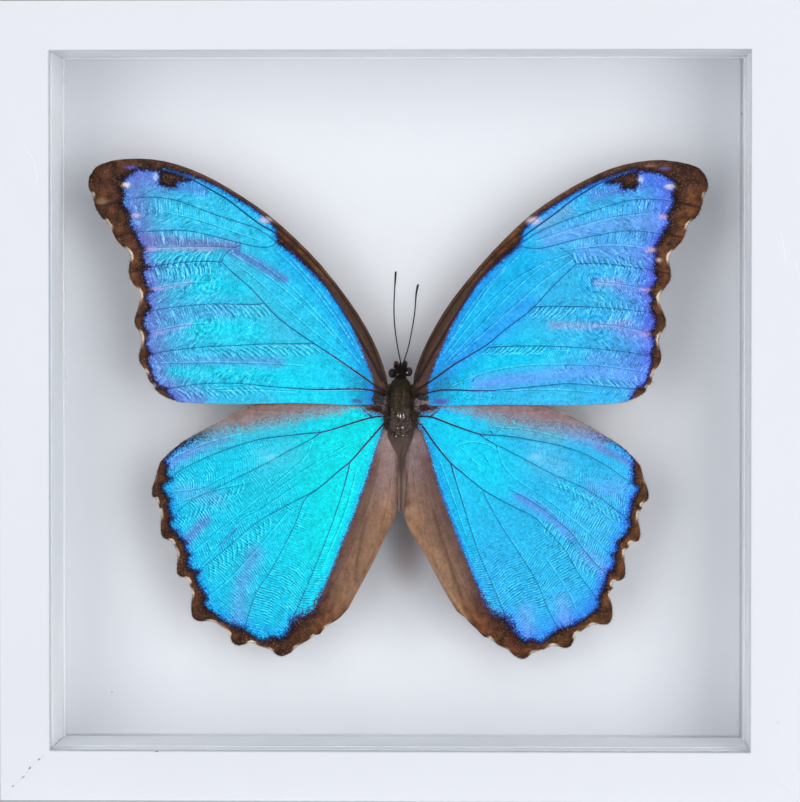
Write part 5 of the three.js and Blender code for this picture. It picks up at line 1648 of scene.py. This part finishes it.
def addLiner(plan):
    bm = bmesh.new()
    addBox(bm, (plan["left"], plan["front"], plan["bottom"]), (plan["right"], plan["back"], plan["top"]))
    corners = [e for e in bm.edges if abs(e.verts[0].co.y - e.verts[1].co.y) > near]
    easeEdges(bm, corners, plan["round"], plan["roundSteps"])
    middle = (plan["front"] + plan["back"]) / 2
    rim = [e for e in bm.edges if all(v.co.y < middle for v in e.verts)]
    easeEdges(bm, rim, plan["edge"])
    finishMm(bm, "mount_liner", mountCard)


# Ledges where a deeper strip stands proud of the spacer: two corners of each, and their edge, in mm
ledgePlan = {
    "boxes": [((78.45, 5.6, 11.3), (78.78, 12.9, 168.7)), ((-78.78, 10.4, 11.3), (-78.45, 12.9, 168.7)),
              ((-78.7, -9.6, 11.22), (78.7, 12.9, 11.45)), ((-78.7, 9.4, 168.45), (78.7, 12.9, 168.78))],
    "edge": 0.05,
}


def addLedges(plan):
    bm = bmesh.new()
    for low, high in plan["boxes"]:
        addBox(bm, low, high)
    easeEdges(bm, bm.edges[:], plan["edge"])
    finishMm(bm, "spacer_ledges", spacerCard)


# In mm. A chip: middle x, y, z, half length, half width, turn in degrees. A line: radius and points.
wearAndShadePlan = {
    "depth": 0.04, "ragged": 0.22, "step": 0.4, "end": 0.3,
    "chips": [(-81.2, -20, 9.25, 0.34, 0.13, 40), (-83.3, -20, 7.25, 0.34, 0.14, 52),
              (-84.75, -20, 5.25, 0.3, 0.1, 22), (-87.1, -20, 3.2, 0.24, 0.14, 50),
              (-85.2, -20, 4.95, 0.1, 0.08, 0), (-83.9, -20, 6.2, 0.1, 0.07, 30),
              (-80.3, -20, 10.1, 0.14, 0.05, 40), (-54.5, -19.9, 11.05, 0.5, 0.12, -8),
              (77.35, -5, 155.0, 0.1, 0.3, 8), (-67.75, 12.58, 21.7, 0.16, 0.12, 0),
              (85.0, -20, 18.0, 0.12, 0.1, 0), (-78.6, -17.5, 11.6, 0.2, 0.1, 40),
              (-78.1, -12, 12.1, 0.2, 0.08, 40), (-78.35, -4, 12.2, 0.26, 0.07, 40)],
    # painted shade: a grey line along the gap at the foot of the liner
    "dark": [(0.12, [(-79.2, 12.55, 11.35), (-78.6, 12.5, 11.2), (-75, 12.5, 11.25), (-71.5, 12.5, 11.2),
                     (-70.8, 12.5, 11.0), (-69.8, 12.5, 11.3), (-67.6, 12.55, 11.4)])],
    "pale": [(0.05, [(-79, -19.97, 11.2), (-82.6, -19.97, 8), (-84.2, -19.97, 5.9), (-87.4, -19.97, 2.9),
                     (-89.4, -19.97, 0.9)]),
             (0.045, [(83.6, -19.97, 6.4), (86.4, -19.97, 3.6), (89.6, -19.97, 0.4)])],
    "runs": [(0.2, [(-85.4, -19.9, 151), (-84.2, -19.9, 147.4), (-82.6, -19.9, 144.6), (-81.7, -19.9, 141.9),
                    (-81.5, -19.9, 140), (-82.7, -19.9, 138), (-82.4, -19.9, 136)]),
             (0.18, [(85.1, -19.9, 130), (85.7, -19.9, 126.6), (86.6, -19.9, 122.6), (87.2, -19.9, 120.4)]),
             (0.16, [(85.9, -19.9, 125.4), (86.3, -19.9, 122.4), (86.8, -19.9, 119.6)]),
             (0.2, [(88.6, -19.9, 122.4), (89.2, -19.9, 119.4), (89.7, -19.9, 116.8)])],
}


def wearLines(name, plan, lines, material):  # thin lines that fade into the surface at both ends
    tracks = []
    for radius, points in lines:
        path = smoothPath(points, plan["step"])
        swell = np.sin(np.pi * np.linspace(0, 1, len(path))) ** 0.5
        radii = radius * (plan["end"] + (1 - plan["end"]) * swell)
        path[:, 1] += radius - radii
        tracks.append((path * mm, radii * mm))
    finishPiece(curveMesh(name, tracks, 2), name, material)


def addWearAndShade(plan):
    draw = random.Random(3)
    bm = bmesh.new()
    for x, y, z, halfLength, halfWidth, turn in plan["chips"]:
        grown = bmesh.ops.create_icosphere(bm, subdivisions=2, radius=1.0)["verts"]
        for vert in grown:
            vert.co *= 1 + draw.uniform(-plan["ragged"], plan["ragged"])
        bmesh.ops.scale(bm, verts=grown, vec=(halfLength, plan["depth"], halfWidth))
        turned = Matrix.Rotation(-math.radians(turn), 3, "Y")
        bmesh.ops.rotate(bm, verts=grown, cent=(0, 0, 0), matrix=turned)
        bmesh.ops.translate(bm, verts=grown, vec=(x, y, z))
    grime = tonedMaterial("dark core in the chips", "#3c3a38", "#8a8680", 2500.0, 0.8)
    # painted shade for the gap at the foot of the liner
    shade = tonedMaterial("painted shade of the card gap", "#5c6066", "#8a8e94", 1200.0, 0.9)
    crack = tonedMaterial("hairline in the lacquer", "#c4c8d0", "#f4f6fa", 900.0, 0.5)
    gloss = tonedMaterial("run of white lacquer", "#fbfcff", "#ffffff", 500.0, 0.25)
    finishMm(bm, "lacquer_chips", grime, smooth=True)
    wearLines("liner_gap", plan, plan["dark"], shade)
    wearLines("mitre_hairlines", plan, plan["pale"], crack)
    wearLines("lacquer_runs", plan, plan["runs"], gloss)


addLiner(linerPlan)
addLedges(ledgePlan)
addWearAndShade(wearAndShadePlan)
print("liner and wear made")
